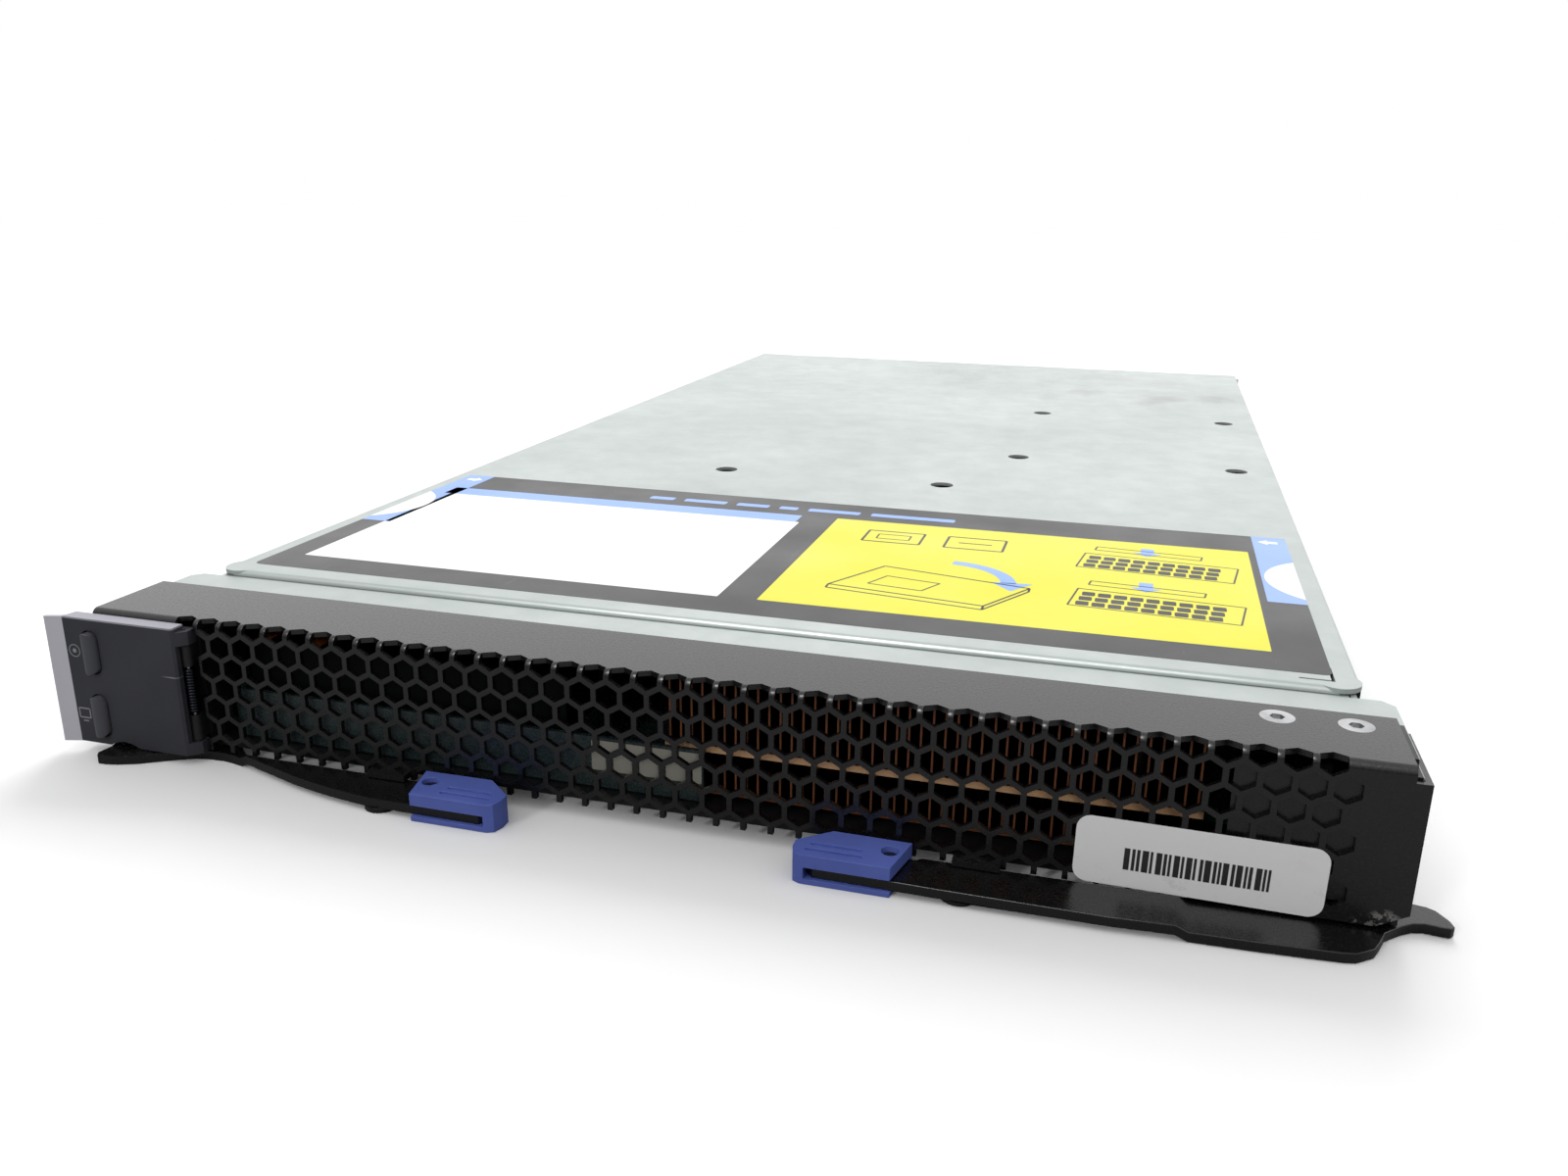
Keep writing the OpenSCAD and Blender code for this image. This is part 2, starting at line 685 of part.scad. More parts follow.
// Angled memory socket with a slot for the module and a yoke for the latch at each end.
module dimm_socket(i) {
    h = dimm_socket_h;
    t = dimm_socket_t;
    l = dimm_socket_l;
    y0 = dimm_y0 + (i - 1) * dimm_pitch;
    color(BLACK) placed() {
        dimm_frame(i) difference() {
            box([-l / 2, -t / 2, 0], [l / 2, t / 2, h]);
            box([-dimm_l / 2 - 0.2, -dimm_t / 2 - 0.1, 3], [dimm_l / 2 + 0.2, dimm_t / 2 + 0.1, h + 1]);
            for (side = [-1, 1]) on_side(side) {
                box([dimm_l / 2 + 0.1, -2.05, 2], [l / 2 + 1, 2.05, h + 1]);
                y_post(dimm_pivot_x, -t, t, 4.4, 1);
            }
        }
        translate([dimm_x, y0, board_top]) box([-dimm_l / 2, -1, 0], [dimm_l / 2, 0.9 * t, 2.2]);
    }
}

module memory_module(i) {
    chips = 9;
    chip_pitch = (dimm_l - 5.6) / chips;
    chip_w = 0.74 * chip_pitch;
    color(BOARD_GREEN) placed() dimm_frame(i) {
        difference() {
            box([-dimm_l / 2, -dimm_t / 2, 3.1], [dimm_l / 2, dimm_t / 2, 3.1 + dimm_h]);
            for (side = [-1, 1]) on_side(side) y_post(dimm_l / 2, -2, 2, 20, 1.8);
        }
        for (k = [0 : chips - 1]) translate([(k - (chips - 1) / 2) * chip_pitch, 0, 15]) {
            box([-chip_w / 2, dimm_t / 2 - eps, 0], [chip_w / 2, dimm_t / 2 + 1, chip_h]);
            box([-chip_w / 2, -dimm_t / 2 - 1, 0], [chip_w / 2, -dimm_t / 2 + eps, chip_h]);
        }
    }
}

// Latch at one end of a memory socket, upright when its nose holds the module.
module dimm_latch(i, side) {
    x0 = dimm_l / 2 + 0.5;
    color([0.85, 0.85, 0.82]) placed() dimm_frame(i) on_side(side) {
        box([x0, -1.75, 3.2], [x0 + 3.4, 1.75, dimm_latch_h - 2]);
        box([x0, -1.75, dimm_latch_h - 2 - eps], [x0 + 5.6, 1.75, dimm_latch_h]);
        box([x0 - 1.4, -0.6, 19.4], [x0 + eps, 0.6, 20.6]);
        y_post(dimm_pivot_x, -dimm_socket_t / 2 + 0.3, dimm_socket_t / 2 - 0.3, 4.4, 1 - turn_gap);
    }
}

// ---------- drives ----------

// Open sheet tray with a turned-up front flange, side flanges, four feet and a lever post.
module drive_tray(k) {
    t = 1;
    y0 = tray_y[k];
    y1 = y0 + tray_l;
    side_h = 7;
    right = tray_x0 + drive_w + 2 * t + 1;
    foot_y0 = max(y0 + 8, board_y0 + 5);
    skirt = k == 0 ? tray_z - floor_top - seat_gap : 0;
    flange_x1 = k == 0 ? tray_x1 + 9 : tray_x1;
    color(DARK_GREY) placed() difference() {
        union() {
            box([tray_x0, y0, tray_z], [tray_x1, y1, tray_z + t]);
            box([tray_x0, y0, tray_z - skirt], [flange_x1, y0 + t, tray_z + tray_flange_h]);
            box([tray_x0, y0, tray_z], [tray_x0 + t, y1, tray_z + side_h]);
            box([right, y0, tray_z], [right + t, y1 - drive_lever_l - 20, tray_z + side_h]);
            for (x = [tray_x0 + 8, tray_x1 - 8]) for (y = [foot_y0, y1 - 8]) post(x, y, board_top, tray_z + eps, 3.5);
            post(tray_x1 - 9, y1 - 13, tray_z + t - eps, tray_z + 6, 2);
        }
        for (i = [0 : 3]) post(tray_x0 + 18 + i * 16, y0 + 50, tray_z - 1, tray_z + t + 1, 5);
    }
}

module hard_drive(k) {
    x0 = tray_x0 + 1.5;
    y0 = tray_y[k] + 3.5;
    z0 = tray_z + 1;
    color([0.55, 0.56, 0.58]) placed() difference() {
        union() {
            box([x0, y0, z0 + 3], [x0 + drive_w, y0 + drive_l, z0 + drive_h]);
            box([x0, y0 + 6, z0], [x0 + drive_w, y0 + drive_l - 1, z0 + 3 + eps]);
        }
        for (i = [0 : 1]) translate([x0 + drive_w / 2, y0 + 34 + i * 40, z0 + drive_h - 0.4])
            cylinder(h = 1, r = i == 0 ? 26 : 8);
    }
}

// Blue release lever that turns on the tray's post beside the drive.
module drive_lever(k) {
    x = tray_x1 - 9;
    y = tray_y[k] + tray_l - 13;
    z0 = tray_z + 1.3;
    h = 4;
    color(BLUE) placed() difference() {
        union() {
            post(x, y, z0, z0 + h, 4);
            box([x - 3, y - drive_lever_l, z0], [x + 1, y, z0 + h]);
            box([x - 3, y - drive_lever_l, z0], [x + 6, y - drive_lever_l + 4, z0 + h]);
        }
        post(x, y, z0 - 1, z0 + h + 1, 2 + turn_gap);
    }
}

module drive_connectors() {
    color(BLACK) placed() for (k = [0, 1]) {
        y0 = tray_y[k] + tray_l + seat_gap;
        x0 = tray_x0 + 12;
        x1 = x0 + drive_socket_l;
        slot_z = board_top + drive_socket_h * 5 / 9;
        difference() {
            box([x0, y0, board_top], [x1, y0 + 6, board_top + drive_socket_h]);
            box([x0 + 4, y0 - 1, slot_z], [x1 - 4, y0 + 2.5, slot_z + 2]);
        }
    }
}

// ---------- rear and loose board parts ----------

module midplane_connectors() {
    reach = 6;
    pitch = 4;
    cells = floor((midplane_l - 8) / pitch);
    color(BLACK) placed() for (side = [-1, 1]) let (x = side * (half_w - midplane_inset)) difference() {
        union() {
            box([x - midplane_l / 2, board_y1 - plug_l - 1, board_top],
                [x + midplane_l / 2, board_y1 - 1, board_top + plug_h]);
            box([x - midplane_l / 2 + 2, board_y1 - 2, board_top + 1],
                [x + midplane_l / 2 - 2, body_l + reach, board_top + plug_h - 1]);
        }
        for (i = [0 : cells - 1]) translate([x + (i - (cells - 1) / 2) * pitch, 0, board_top])
            box([-1, body_l + 1, 2.6], [1, body_l + reach + 1, plug_h - 2.6]);
    }
}

module battery_holder() {
    color(BLACK) placed() translate([battery_at[0], battery_at[1], 0]) difference() {
        union() {
            post(0, 0, board_top, board_top + 4.6, battery_r + 1.6);
            box([-4, -battery_r - 4, board_top], [4, battery_r + 4, board_top + 2]);
        }
        post(0, 0, board_top + 1.2, board_top + 6, battery_r + 0.2);
    }
}

module battery() {
    color(STEEL) placed() translate([battery_at[0], battery_at[1], 0]) {
        post(0, 0, board_top + 1.2, board_top + 2.4, battery_r);
        post(0, 0, board_top + 2.4 - eps, board_top + 4.2, battery_r - 0.6);
    }
}

module chipset_heat_sink() {
    w = chipset_w / 2;
    fins = 9;
    pitch = (chipset_w - 1.4) / (fins - 1);
    color([0.62, 0.63, 0.65]) placed() translate([chipset_at[0], chipset_at[1], board_top]) {
        box([-w + 4, -w + 4, 0], [w - 4, w - 4, 2]);
        box([-w, -w, 2 - eps], [w, w, 4]);
        for (i = [0 : fins - 1]) translate([i * pitch - w, 0, 0]) box([0, -w, 4 - eps], [1.4, w, 16]);
    }
}

module regulator_coils() {
    coil_w = regulator_pitch * 5 / 6;
    color(DARK_GREY) placed() for (i = [0 : 7])
        translate([tray_x1 + 7 + i * regulator_pitch, coil_y, board_top]) difference() {
            box([-coil_w / 2, -coil_w / 2, 0], [coil_w / 2, coil_w / 2, coil_h]);
            post(0, 0, coil_h - 0.6, coil_h + 1, 0.3 * coil_w);
        }
}

module board_capacitors() {
    color([0.20, 0.22, 0.45]) placed() {
        for (i = [0 : 7])
            post(tray_x1 + 7 + i * regulator_pitch, coil_y + 12, board_top, board_top + capacitor_h - 3,
                regulator_pitch * 4 / 15);
        for (i = [0 : 3]) post(battery_at[0] + (i - 2.8) * (2 * capacitor_r + 2), capacitor_y,
            board_top, board_top + capacitor_h, capacitor_r);
    }
}

// ---------- operator panel and its door ----------

// Housing behind the door, with the power button's well and two hinge barrels on webs.
module operator_panel() {
    web = 1;
    button_travel = 1.2;
    lights = 5;
    color(BLACK) placed() difference() {
        union() {
            box([-half_front + sheet_t + seat_gap, panel_y0, floor_top],
                [-door_pin_x + barrel_r, panel_y1, rail_z - 0.5]);
            for (z = [barrel_low, barrel_high]) {
                post(-door_pin_x, -door_pin_y, z[0], z[1], barrel_r);
                box([-door_pin_x - web / 2, -door_pin_y, z[0]], [-door_pin_x + web / 2, panel_y0 + eps, z[1]]);
            }
        }
        post(-door_pin_x, -door_pin_y, 0, bezel_top, door_pin_r + turn_gap);
        y_post(power_x, panel_y0 - 1, panel_y0 + 2.4 + button_travel, power_z, power_r + button_gap);
        for (i = [0 : lights - 1]) y_post(-half_front + 3.9, panel_y0 - 1, panel_y0 + 1, power_z + (i - 2) * 3.6, 0.9);
        post(-pivot_x, pivot_y, 0, floor_top + 2, rivet_head_r + 0.4);
    }
}

module power_button() {
    color([0.85, 0.85, 0.85]) placed() y_post(power_x, panel_y0 - 0.6, panel_y0 + 2.4, power_z, power_r);
}

// The door's front seen from above: flared lip, flat face and a chamfer beside the hinge.
module door_front_plan() {
    lip_y = door_front_y - 1.1;
    polygon([
        [-door_fold_x - door_lip_w, lip_y], [-door_fold_x, door_front_y],
        [-door_pin_x - 0.8, door_front_y], [-door_pin_x + 0.55, door_front_y + 1.1],
        [-door_pin_x + 1.4, -door_pin_y - 0.6], [-door_pin_x + 1.4, -door_pin_y + 0.3],
        [-door_fold_x + 0.2, -door_pin_y + 0.3],
        [-door_fold_x - 0.1, door_front_y + 1], [-door_fold_x - door_lip_w - 0.2, lip_y + 1]
    ]);
}

// The rim behind the door's front, which reaches in under the bezel's edge.
module door_rim_plan() {
    polygon([
        [-door_fold_x + 0.2, door_front_y + 1], [-door_pin_x, door_front_y + 1],
        [-door_pin_x + 1.3, -door_pin_y - 0.4], [-door_pin_x + 1.3, 1.1], [-door_fold_x + 0.2, 1.1]
    ]);
}

module panel_door() {
    wall = 1;
    notch_h = 1;
    notch_w = 3.45;
    notch_r = (notch_w * notch_w + notch_h * notch_h) / 2 / notch_h;
    color(DARK_GREY) placed() difference() {
        union() {
            translate([0, 0, door_bottom]) linear_extrude(height = door_top - door_bottom) door_front_plan();
            translate([0, 0, door_bottom]) linear_extrude(height = door_inner_top - door_bottom) door_rim_plan();
        }
        // hollow back
        box([-door_fold_x + 1.6, door_front_y + door_t, door_bottom + wall],
            [-door_edge_x - 0.8, 5, door_inner_top - wall]);
        // open middle of the hinge, where the panel's barrels and the spring sit
        box([-door_face_x, -6, barrel_low[0] - seat_gap], [-door_pin_x + 5, 5, barrel_high[1] + seat_gap]);
        box([-door_edge_x, door_front_y + door_t, barrel_low[0] - seat_gap],
            [-door_pin_x, 5, barrel_high[1] + seat_gap]);
        // corner that passes under the bezel's edge as the door turns
        box([-door_pin_x - 0.4, -6, door_inner_top], [-door_pin_x + 5, 5, bezel_top]);
        post(-door_pin_x, -door_pin_y, 0, bezel_top, door_pin_r + turn_gap);
        // finger notch over the lever
        y_post(-half_front + 6.45, -8, 5, door_bottom + notch_h - notch_r, notch_r);
        for (z = [disc_z, console_z]) along_y(door_front_y - 1, door_front_y + door_t + 1)
            translate([slot_x, z]) slot_outline(button_w + 2 * button_gap, button_l + 2 * button_gap);
    }
}

module door_pin() {
    color(STEEL) placed() post(-door_pin_x, -door_pin_y, door_bottom + 0.8, door_inner_top - 0.5, door_pin_r);
}

// Close-wound spring around the middle of the hinge pin, with a leg against the panel.
module door_spring() {
    turns = 15;
    end_gap = 1;
    z0 = barrel_low[1] + end_gap;
    z1 = barrel_high[0] - end_gap;
    step = (z1 - z0) / (turns - 1);
    coil_r = door_pin_r + step / 2 + 0.08;
    leg = 0.4;
    color(STEEL) placed() {
        for (i = [0 : turns - 1]) translate([-door_pin_x, -door_pin_y, z0 + i * step])
            rotate_extrude() translate([coil_r, 0]) circle(d = step + 0.06);
        box([-door_pin_x + coil_r - leg / 2, -door_pin_y, z0 + 2],
            [-door_pin_x + coil_r + leg / 2, panel_y0 - 0.05, z0 + 2 + leg]);
    }
}

// Select button: a domed cap in the door's slot with a wider base behind the face.
module select_button(z) {
    crown = 1.5;
    y0 = door_front_y - crown;
    y1 = door_front_y + door_t + 0.2;
    base = 0.5;
    dome_r = (crown + pow(button_w / 2, 2) / crown) / 2;
    color([0.36, 0.36, 0.38]) placed() {
        intersection() {
            along_y(y0 - 1, y1 + eps) translate([slot_x, z]) slot_outline(button_w, button_l);
            union() {
                post(slot_x, y0 + dome_r, z - button_l, z + button_l, dome_r);
                box([slot_x - button_w, y0 + dome_r, z - button_l], [slot_x + button_w, y1 + 1, z + button_l]);
            }
        }
        box([slot_x - button_w / 2 - base, y1, z - button_l / 2 - base],
            [slot_x + button_w / 2 + base, y1 + 1.2, z + button_l / 2 + base]);
    }
}

// ---------- release levers ----------

// Lever plate seen from above. The hook is drawn from the pivot, the arm from the grip.
hook = [
    [10.2, -12.6], [11.4, -9.5], [12.7, -8.2], [14.3, -6.7], [16, -5.5], [17.8, -5], [20.2, -5.3],
    [21.5, -5.4], [22.2, -4.6], [21.8, -2.9], [20.2, -0.2], [18.9, 0.6], [16.5, 1], [12.6, 2.6],
    [8.5, 6.5], [2, 9.2], [-4, 8.6], [-8.5, 4], [-12.5, -3]
];
right_front = [[-57, -19], [-30, -19.1], [-20, -18.5], [-8, -18.1], [0.3, -17.6], [4.5, -17.3], [6.4, -16.9],
               [7.6, -16], [9.2, -14.7]];
left_front = [[-53, -18.4], [-49.2, -17.9], [-44.5, -17.2], [-39.6, -16.2], [-34.3, -14.9], [-28.3, -12.9],
              [-23.9, -11.5], [-19.5, -10], [-16, -9.1], [-13.5, -8.7], [-10.1, -8.8], [-7.1, -9.5],
              [-3.9, -11.1], [-1.5, -12.5], [2.3, -14.9], [5.8, -16.3], [7.9, -16.8], [9.8, -16.9], [10.6, -15.8]];
arm_rear_y = -0.6;
arm_front_y = -9.6;
grip_inset = 2.8;

module lever_plan(front, tip_x) {
    pivoted = [for (p = concat(front, hook)) [pivot_x + p[0], pivot_y + p[1]]];
    polygon(concat(
        [[tip_x + grip_inset, arm_rear_y - 1.1], [tip_x + grip_inset, arm_front_y + 1.2],
         [tip_x + grip_inset + 1.2, arm_front_y]],
        pivoted,
        [[joggle_x - 2, arm_rear_y], [tip_x + 21, arm_rear_y - 0.2], [tip_x + 20, arm_rear_y - 1.1]]
    ));
}

// Side profile of the joggle: the outer part low, the inner part high.
module joggle_outline() {
    t = lever_t;
    run = 2;
    end = pivot_x + 30;
    polygon([
        [0, lever_high_z], [joggle_x - run, lever_high_z], [joggle_x, lever_low_z], [end, lever_low_z],
        [end, lever_low_z + t], [joggle_x, lever_low_z + t], [joggle_x - run, lever_high_z + t],
        [0, lever_high_z + t]
    ]);
}

stud_reach = 16.2;
stud_at_y = -4.8;

module lever(side, front, tip_x) {
    color(BLACK) placed() on_side(side) difference() {
        union() {
            intersection() {
                linear_extrude(height = tip_h) lever_plan(front, tip_x);
                along_y(pivot_y - 25, pivot_y + 15) joggle_outline();
            }
            // stud that locks the grip on the plate
            post(tip_x + stud_reach, stud_at_y, lever_high_z + lever_t - eps, tip_h - 0.9, tip_hole_r - 0.1);
            // stop pad under the plate
            post(54, arm_front_y + 2.9, lever_low_z, lever_high_z + eps, 3.2);
        }
        post(pivot_x, pivot_y, -1, 5, rivet_r + turn_gap);
        post(pivot_x, pivot_y, -1, lever_low_z + 0.75, rivet_head_r + 0.1);
    }
}

// Grip seen from above, with its corners slanted back.
module grip_plan() {
    front = arm_front_y - 0.8;
    polygon([[0.1, -7.8], [0.1, -5.6], [5.6, -0.9], [19.3, -1.1], [17.3, front], [2, front], [0.7, front + 0.6]]);
}

module lever_tip(side, tip_x) {
    mouth = 0.35;
    groove_w = 0.8;
    color(BLUE) placed() on_side(side) difference() {
        translate([tip_x, 0, 0.05]) linear_extrude(height = tip_h - 0.05) grip_plan();
        // slot that the lever plate slides into
        box([tip_x + grip_inset - 0.2, -12, lever_high_z - 0.02],
            [tip_x + 30, arm_rear_y - 1, lever_high_z + lever_t + mouth]);
        post(tip_x + stud_reach, stud_at_y, 2, tip_h + 1, tip_hole_r);
        // finger grooves
        for (i = [0 : 1]) translate([tip_x + 7.3, -8.1 + i * 2, tip_h - 0.5]) linear_extrude(height = 1)
            rotate(90) slot_outline(groove_w, 10 - i);
    }
}

module lever_pivots() {
    z0 = lever_low_z + 0.05;
    color(STEEL) placed() for (side = [-1, 1]) {
        post(side * pivot_x, pivot_y, z0, z0 + 0.6, rivet_head_r);
        post(side * pivot_x, pivot_y, z0 + 0.5, floor_top + eps, rivet_r);
        post(side * pivot_x, pivot_y, floor_top, floor_top + 0.9, rivet_head_r);
    }
}

// ---------- cover ----------

// Cross-section of the cover in the XZ plane: a plate with a flange folded down at each side.
module cover_section() {
    t = cover_t;
    r = cover_bend_r;
    z0 = cover_top - cover_flange_h;
    difference() {
        union() {
            flat([-half_w, z0], [half_w, cover_top - r]);
            flat([-half_w + r, z0], [half_w - r, cover_top]);
            for (side = [-1, 1]) translate([side * (half_w - r), cover_top - r]) circle(r = r);
        }
        flat([-half_w + t, z0 - 1], [half_w - t, cover_top - r]);
        flat([-half_w + r, z0 - 1], [half_w - r, cover_top - t]);
        for (side = [-1, 1]) translate([side * (half_w - r), cover_top - r]) circle(r = r - t);
    }
}

// Front edge of the cover in the YZ plane, folded down to the lip.
module cover_nose_section() {
    t = cover_t;
    r = cover_bend_r;
    z0 = rail_top - 0.2;
    difference() {
        union() {
            translate([cover_y0 + r, cover_top - r]) circle(r = r);
            flat([cover_y0 + r, cover_top - t], [cover_y0 + cover_corner_r + 1, cover_top]);
        }
        translate([cover_y0 + r, cover_top - r]) circle(r = r - t);
        flat([cover_y0 - 1, z0 - 2 * r], [cover_y0 + 2 * r + 1, z0]);
        flat([cover_y0 + r, z0 - r - 1], [cover_y0 + cover_corner_r + 2, cover_top - t]);
    }
}

// What is cut out of the side flanges, in the YZ plane.
module flange_cuts() {
    z0 = cover_top - cover_flange_h - 1;
    g = button_gap;
    cut = 6;
    // chamfered lower corners
    polygon([[body_l - cut - 1, z0], [body_l + 1, z0], [body_l + 1, z0 + cut + 2]]);
    polygon([[cover_y0, z0], [cover_y0 + cover_corner_r + 4, z0], [cover_y0, z0 + cover_corner_r + 4]]);
    // open slot that lets the cover lift off its studs
    translate([stud_y, stud_z]) circle(r = stud_r + turn_gap);
    flat([stud_y - stud_r - turn_gap, z0], [stud_y + stud_r + turn_gap, stud_z]);
    // open notch over the cover latch
    flat([latch_y - latch_l / 2 - g, z0], [latch_y + latch_l / 2 + g, latch_z + latch_h / 2 + g]);
    // relief notch and slit
    flat([latch_y + 30, z0], [latch_y + 33, z0 + 5]);
    flat([latch_y - 46, cover_top - 5], [latch_y - 26, cover_top - 3.4]);
}

module top_cover() {
    t = cover_t;
    r = cover_corner_r;
    slit = 0.6;
    slit_at = [half_w - 4.4, lip_y1 + 5.2];
    color(GALVANISED) placed() difference() {
        union() {
            along_y(cover_y0 + r, body_l) cover_section();
            along_x(-half_w + r, half_w - r) cover_nose_section();
            for (side = [-1, 1]) post(side * (half_w - r), cover_y0 + r, cover_top - t, cover_top, r);
        }
        along_x(-half_w - 1, half_w + 1) flange_cuts();
        for (h = cover_holes) post(h[0], h[1], cover_top - 3, cover_top + 1, cover_hole_r);
        // bent slit in the front right corner
        box([slit_at[0] - 6, slit_at[1] - slit, cover_top - 3], [slit_at[0], slit_at[1], cover_top + 1]);
        box([slit_at[0] - slit, slit_at[1] - slit, cover_top - 3], [slit_at[0], slit_at[1] + 6.4, cover_top + 1]);
    }
}

// Blue push button in the side wall that frees the cover.
module cover_latch(side) {
    x0 = wall_in - sheet_t - seat_gap;
    color(BLUE) placed() on_side(side) {
        box([x0 - 1.6, latch_y - latch_l / 2 - 3, latch_z - latch_h / 2 - 1.2],
            [x0, latch_y + latch_l / 2 + 3, latch_z + latch_h / 2 + 1.2]);
        box([x0 - eps, latch_y - latch_l / 2, latch_z - latch_h / 2],
            [half_w + 1.1, latch_y + latch_l / 2, latch_z + latch_h / 2]);
    }
}

// Rivet studs that the cover's slots hang on.
module cover_studs() {
    x1 = half_w + 0.2;
    color(STEEL) placed() for (side = [-1, 1]) on_side(side) {
        x_post(wall_in - sheet_t - 0.6, wall_in + eps, stud_y, stud_z, stud_r - 0.5 - turn_gap);
        x_post(wall_in, x1, stud_y, stud_z, stud_r);
        x_post(x1 - eps, x1 + 0.8, stud_y, stud_z, stud_r + 1.2);
    }
}

// ---------- nodes ----------

chassis_tray();
front_top_rail();
front_bezel();
bezel_screws();
system_board();
board_standoffs();
board_screws();
cpu_socket(cpu_y[0]);  // cpu_socket_front
cpu_socket(cpu_y[1]);  // cpu_socket_rear
processor(cpu_y[0]);  // processor_front
processor(cpu_y[1]);  // processor_rear
heat_sink(cpu_y[0]);  // heat_sink_front
heat_sink(cpu_y[1]);  // heat_sink_rear
heat_sink_screws();
dimm_socket(1);  // dimm_socket_1
dimm_socket(2);  // dimm_socket_2
dimm_socket(3);  // dimm_socket_3
dimm_socket(4);  // dimm_socket_4
memory_module(1);  // memory_module_1
memory_module(2);  // memory_module_2
memory_module(3);  // memory_module_3
memory_module(4);  // memory_module_4
dimm_latch(1, -1);  // dimm_latch_1_left
dimm_latch(1, 1);  // dimm_latch_1_right
dimm_latch(2, -1);  // dimm_latch_2_left
dimm_latch(2, 1);  // dimm_latch_2_right
dimm_latch(3, -1);  // dimm_latch_3_left
dimm_latch(3, 1);  // dimm_latch_3_right
dimm_latch(4, -1);  // dimm_latch_4_left
dimm_latch(4, 1);  // dimm_latch_4_right
drive_tray(0);  // drive_tray_front
drive_tray(1);  // drive_tray_rear
hard_drive(0);  // hard_drive_front
hard_drive(1);  // hard_drive_rear
drive_lever(0);  // drive_lever_front
drive_lever(1);  // drive_lever_rear
drive_connectors();
midplane_connectors();
battery_holder();
battery();
chipset_heat_sink();
regulator_coils();
board_capacitors();
operator_panel();
power_button();
panel_door();
door_pin();
door_spring();
select_button(disc_z);  // disc_select_button
select_button(console_z);  // console_select_button
lever(-1, left_front, left_tip_x);  // lever_left
lever(1, right_front, right_tip_x);  // lever_right
lever_tip(-1, left_tip_x);  // lever_tip_left
lever_tip(1, right_tip_x);  // lever_tip_right
lever_pivots();
top_cover();
cover_latch(-1);  // cover_latch_left
cover_latch(1);  // cover_latch_right
cover_studs();
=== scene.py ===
"""Dresses the blade server's CAD model: finishes for every node, softened edges on the pieces
that are handled, the printed label on the cover, the sticker on the bezel, the door's icons, the
paper label and tape on the front drive, and the stage."""

import json
import math

import bpy
from mathutils import Matrix, Vector


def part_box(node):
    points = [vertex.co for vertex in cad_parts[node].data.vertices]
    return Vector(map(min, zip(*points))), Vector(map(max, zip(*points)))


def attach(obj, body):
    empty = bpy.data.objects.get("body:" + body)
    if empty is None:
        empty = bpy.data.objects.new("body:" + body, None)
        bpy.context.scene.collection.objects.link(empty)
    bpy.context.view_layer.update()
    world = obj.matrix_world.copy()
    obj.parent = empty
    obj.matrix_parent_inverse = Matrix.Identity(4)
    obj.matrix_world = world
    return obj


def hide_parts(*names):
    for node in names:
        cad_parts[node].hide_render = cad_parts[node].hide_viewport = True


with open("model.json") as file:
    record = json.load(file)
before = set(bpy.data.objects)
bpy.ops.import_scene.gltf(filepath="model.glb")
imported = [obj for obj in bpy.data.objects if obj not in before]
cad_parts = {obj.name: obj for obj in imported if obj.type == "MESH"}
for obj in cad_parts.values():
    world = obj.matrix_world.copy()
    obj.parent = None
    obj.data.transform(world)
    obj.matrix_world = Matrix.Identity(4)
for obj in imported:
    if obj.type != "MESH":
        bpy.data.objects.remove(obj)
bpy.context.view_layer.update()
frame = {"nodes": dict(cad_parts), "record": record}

bl_info = {
    "name": "Blade server",
    "version": (1, 0, 0),
    "blender": (4, 5, 0),
    "location": "View3D > Sidebar > Blade",
    "description": "Finishes and printed parts of a blade server",
    "category": "Object",
}

MM = 0.001
NODES = frame["nodes"]
BODIES = {
    node: body
    for body, nodes in frame["record"]["behaviour"]["bodies"].items()
    for node in nodes
}
SLOTS = {part["node"]: part["material_slot"] for part in frame["record"]["subparts"]}

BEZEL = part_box("front_bezel")
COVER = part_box("top_cover")
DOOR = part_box("panel_door")
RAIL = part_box("front_top_rail")
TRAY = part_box("drive_tray_front")
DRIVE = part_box("hard_drive_front")
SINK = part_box("heat_sink_front")
LUG_REACH = 2.2 * MM  # the bezel's lugs stand this far in front of its face
FACE_Y = BEZEL[0].y + LUG_REACH
COVER_TOP = COVER[1].z


# ---------------------------------------------------------------- node helpers


def linear(colour):
    """A colour written as sRGB hex, as linear values."""
    out = []
    for i in (1, 3, 5):
        c = int(colour[i : i + 2], 16) / 255
        out.append(c / 12.92 if c <= 0.04045 else ((c + 0.055) / 1.055) ** 2.4)
    return (*out, 1.0)


def add(tree, kind, inputs=None, **settings):
    """Adds one shader node, sets its properties and fills or links its inputs."""
    node = tree.nodes.new(kind)
    for name, value in settings.items():
        setattr(node, name, value)
    for name, value in (inputs or {}).items():
        if isinstance(value, bpy.types.NodeSocket):
            tree.links.new(value, node.inputs[name])
        else:
            node.inputs[name].default_value = value
    return node


def new_material(name):
    """An empty material: itself, its tree, its shader and the object's own coordinates."""
    material = bpy.data.materials.new(name)
    material.use_nodes = True
    tree = material.node_tree
    tree.nodes.clear()
    out = add(tree, "ShaderNodeOutputMaterial")
    shader = add(tree, "ShaderNodeBsdfPrincipled")
    tree.links.new(shader.outputs[0], out.inputs[0])
    where = add(tree, "ShaderNodeTexCoord").outputs["Object"]
    return material, tree, shader, where


def noise(tree, where, size_mm, detail=3.0, rough=0.55, stretch=(1, 1, 1), turn=(0, 0, 0)):
    """Noise whose blotches are about size_mm across, as a value from 0 to 1."""
    place = add(tree, "ShaderNodeMapping", {"Vector": where, "Scale": stretch, "Rotation": turn})
    return add(
        tree, "ShaderNodeTexNoise",
        {"Vector": place.outputs[0], "Scale": 1000.0 / size_mm, "Detail": detail,
         "Roughness": rough},
    ).outputs[0]


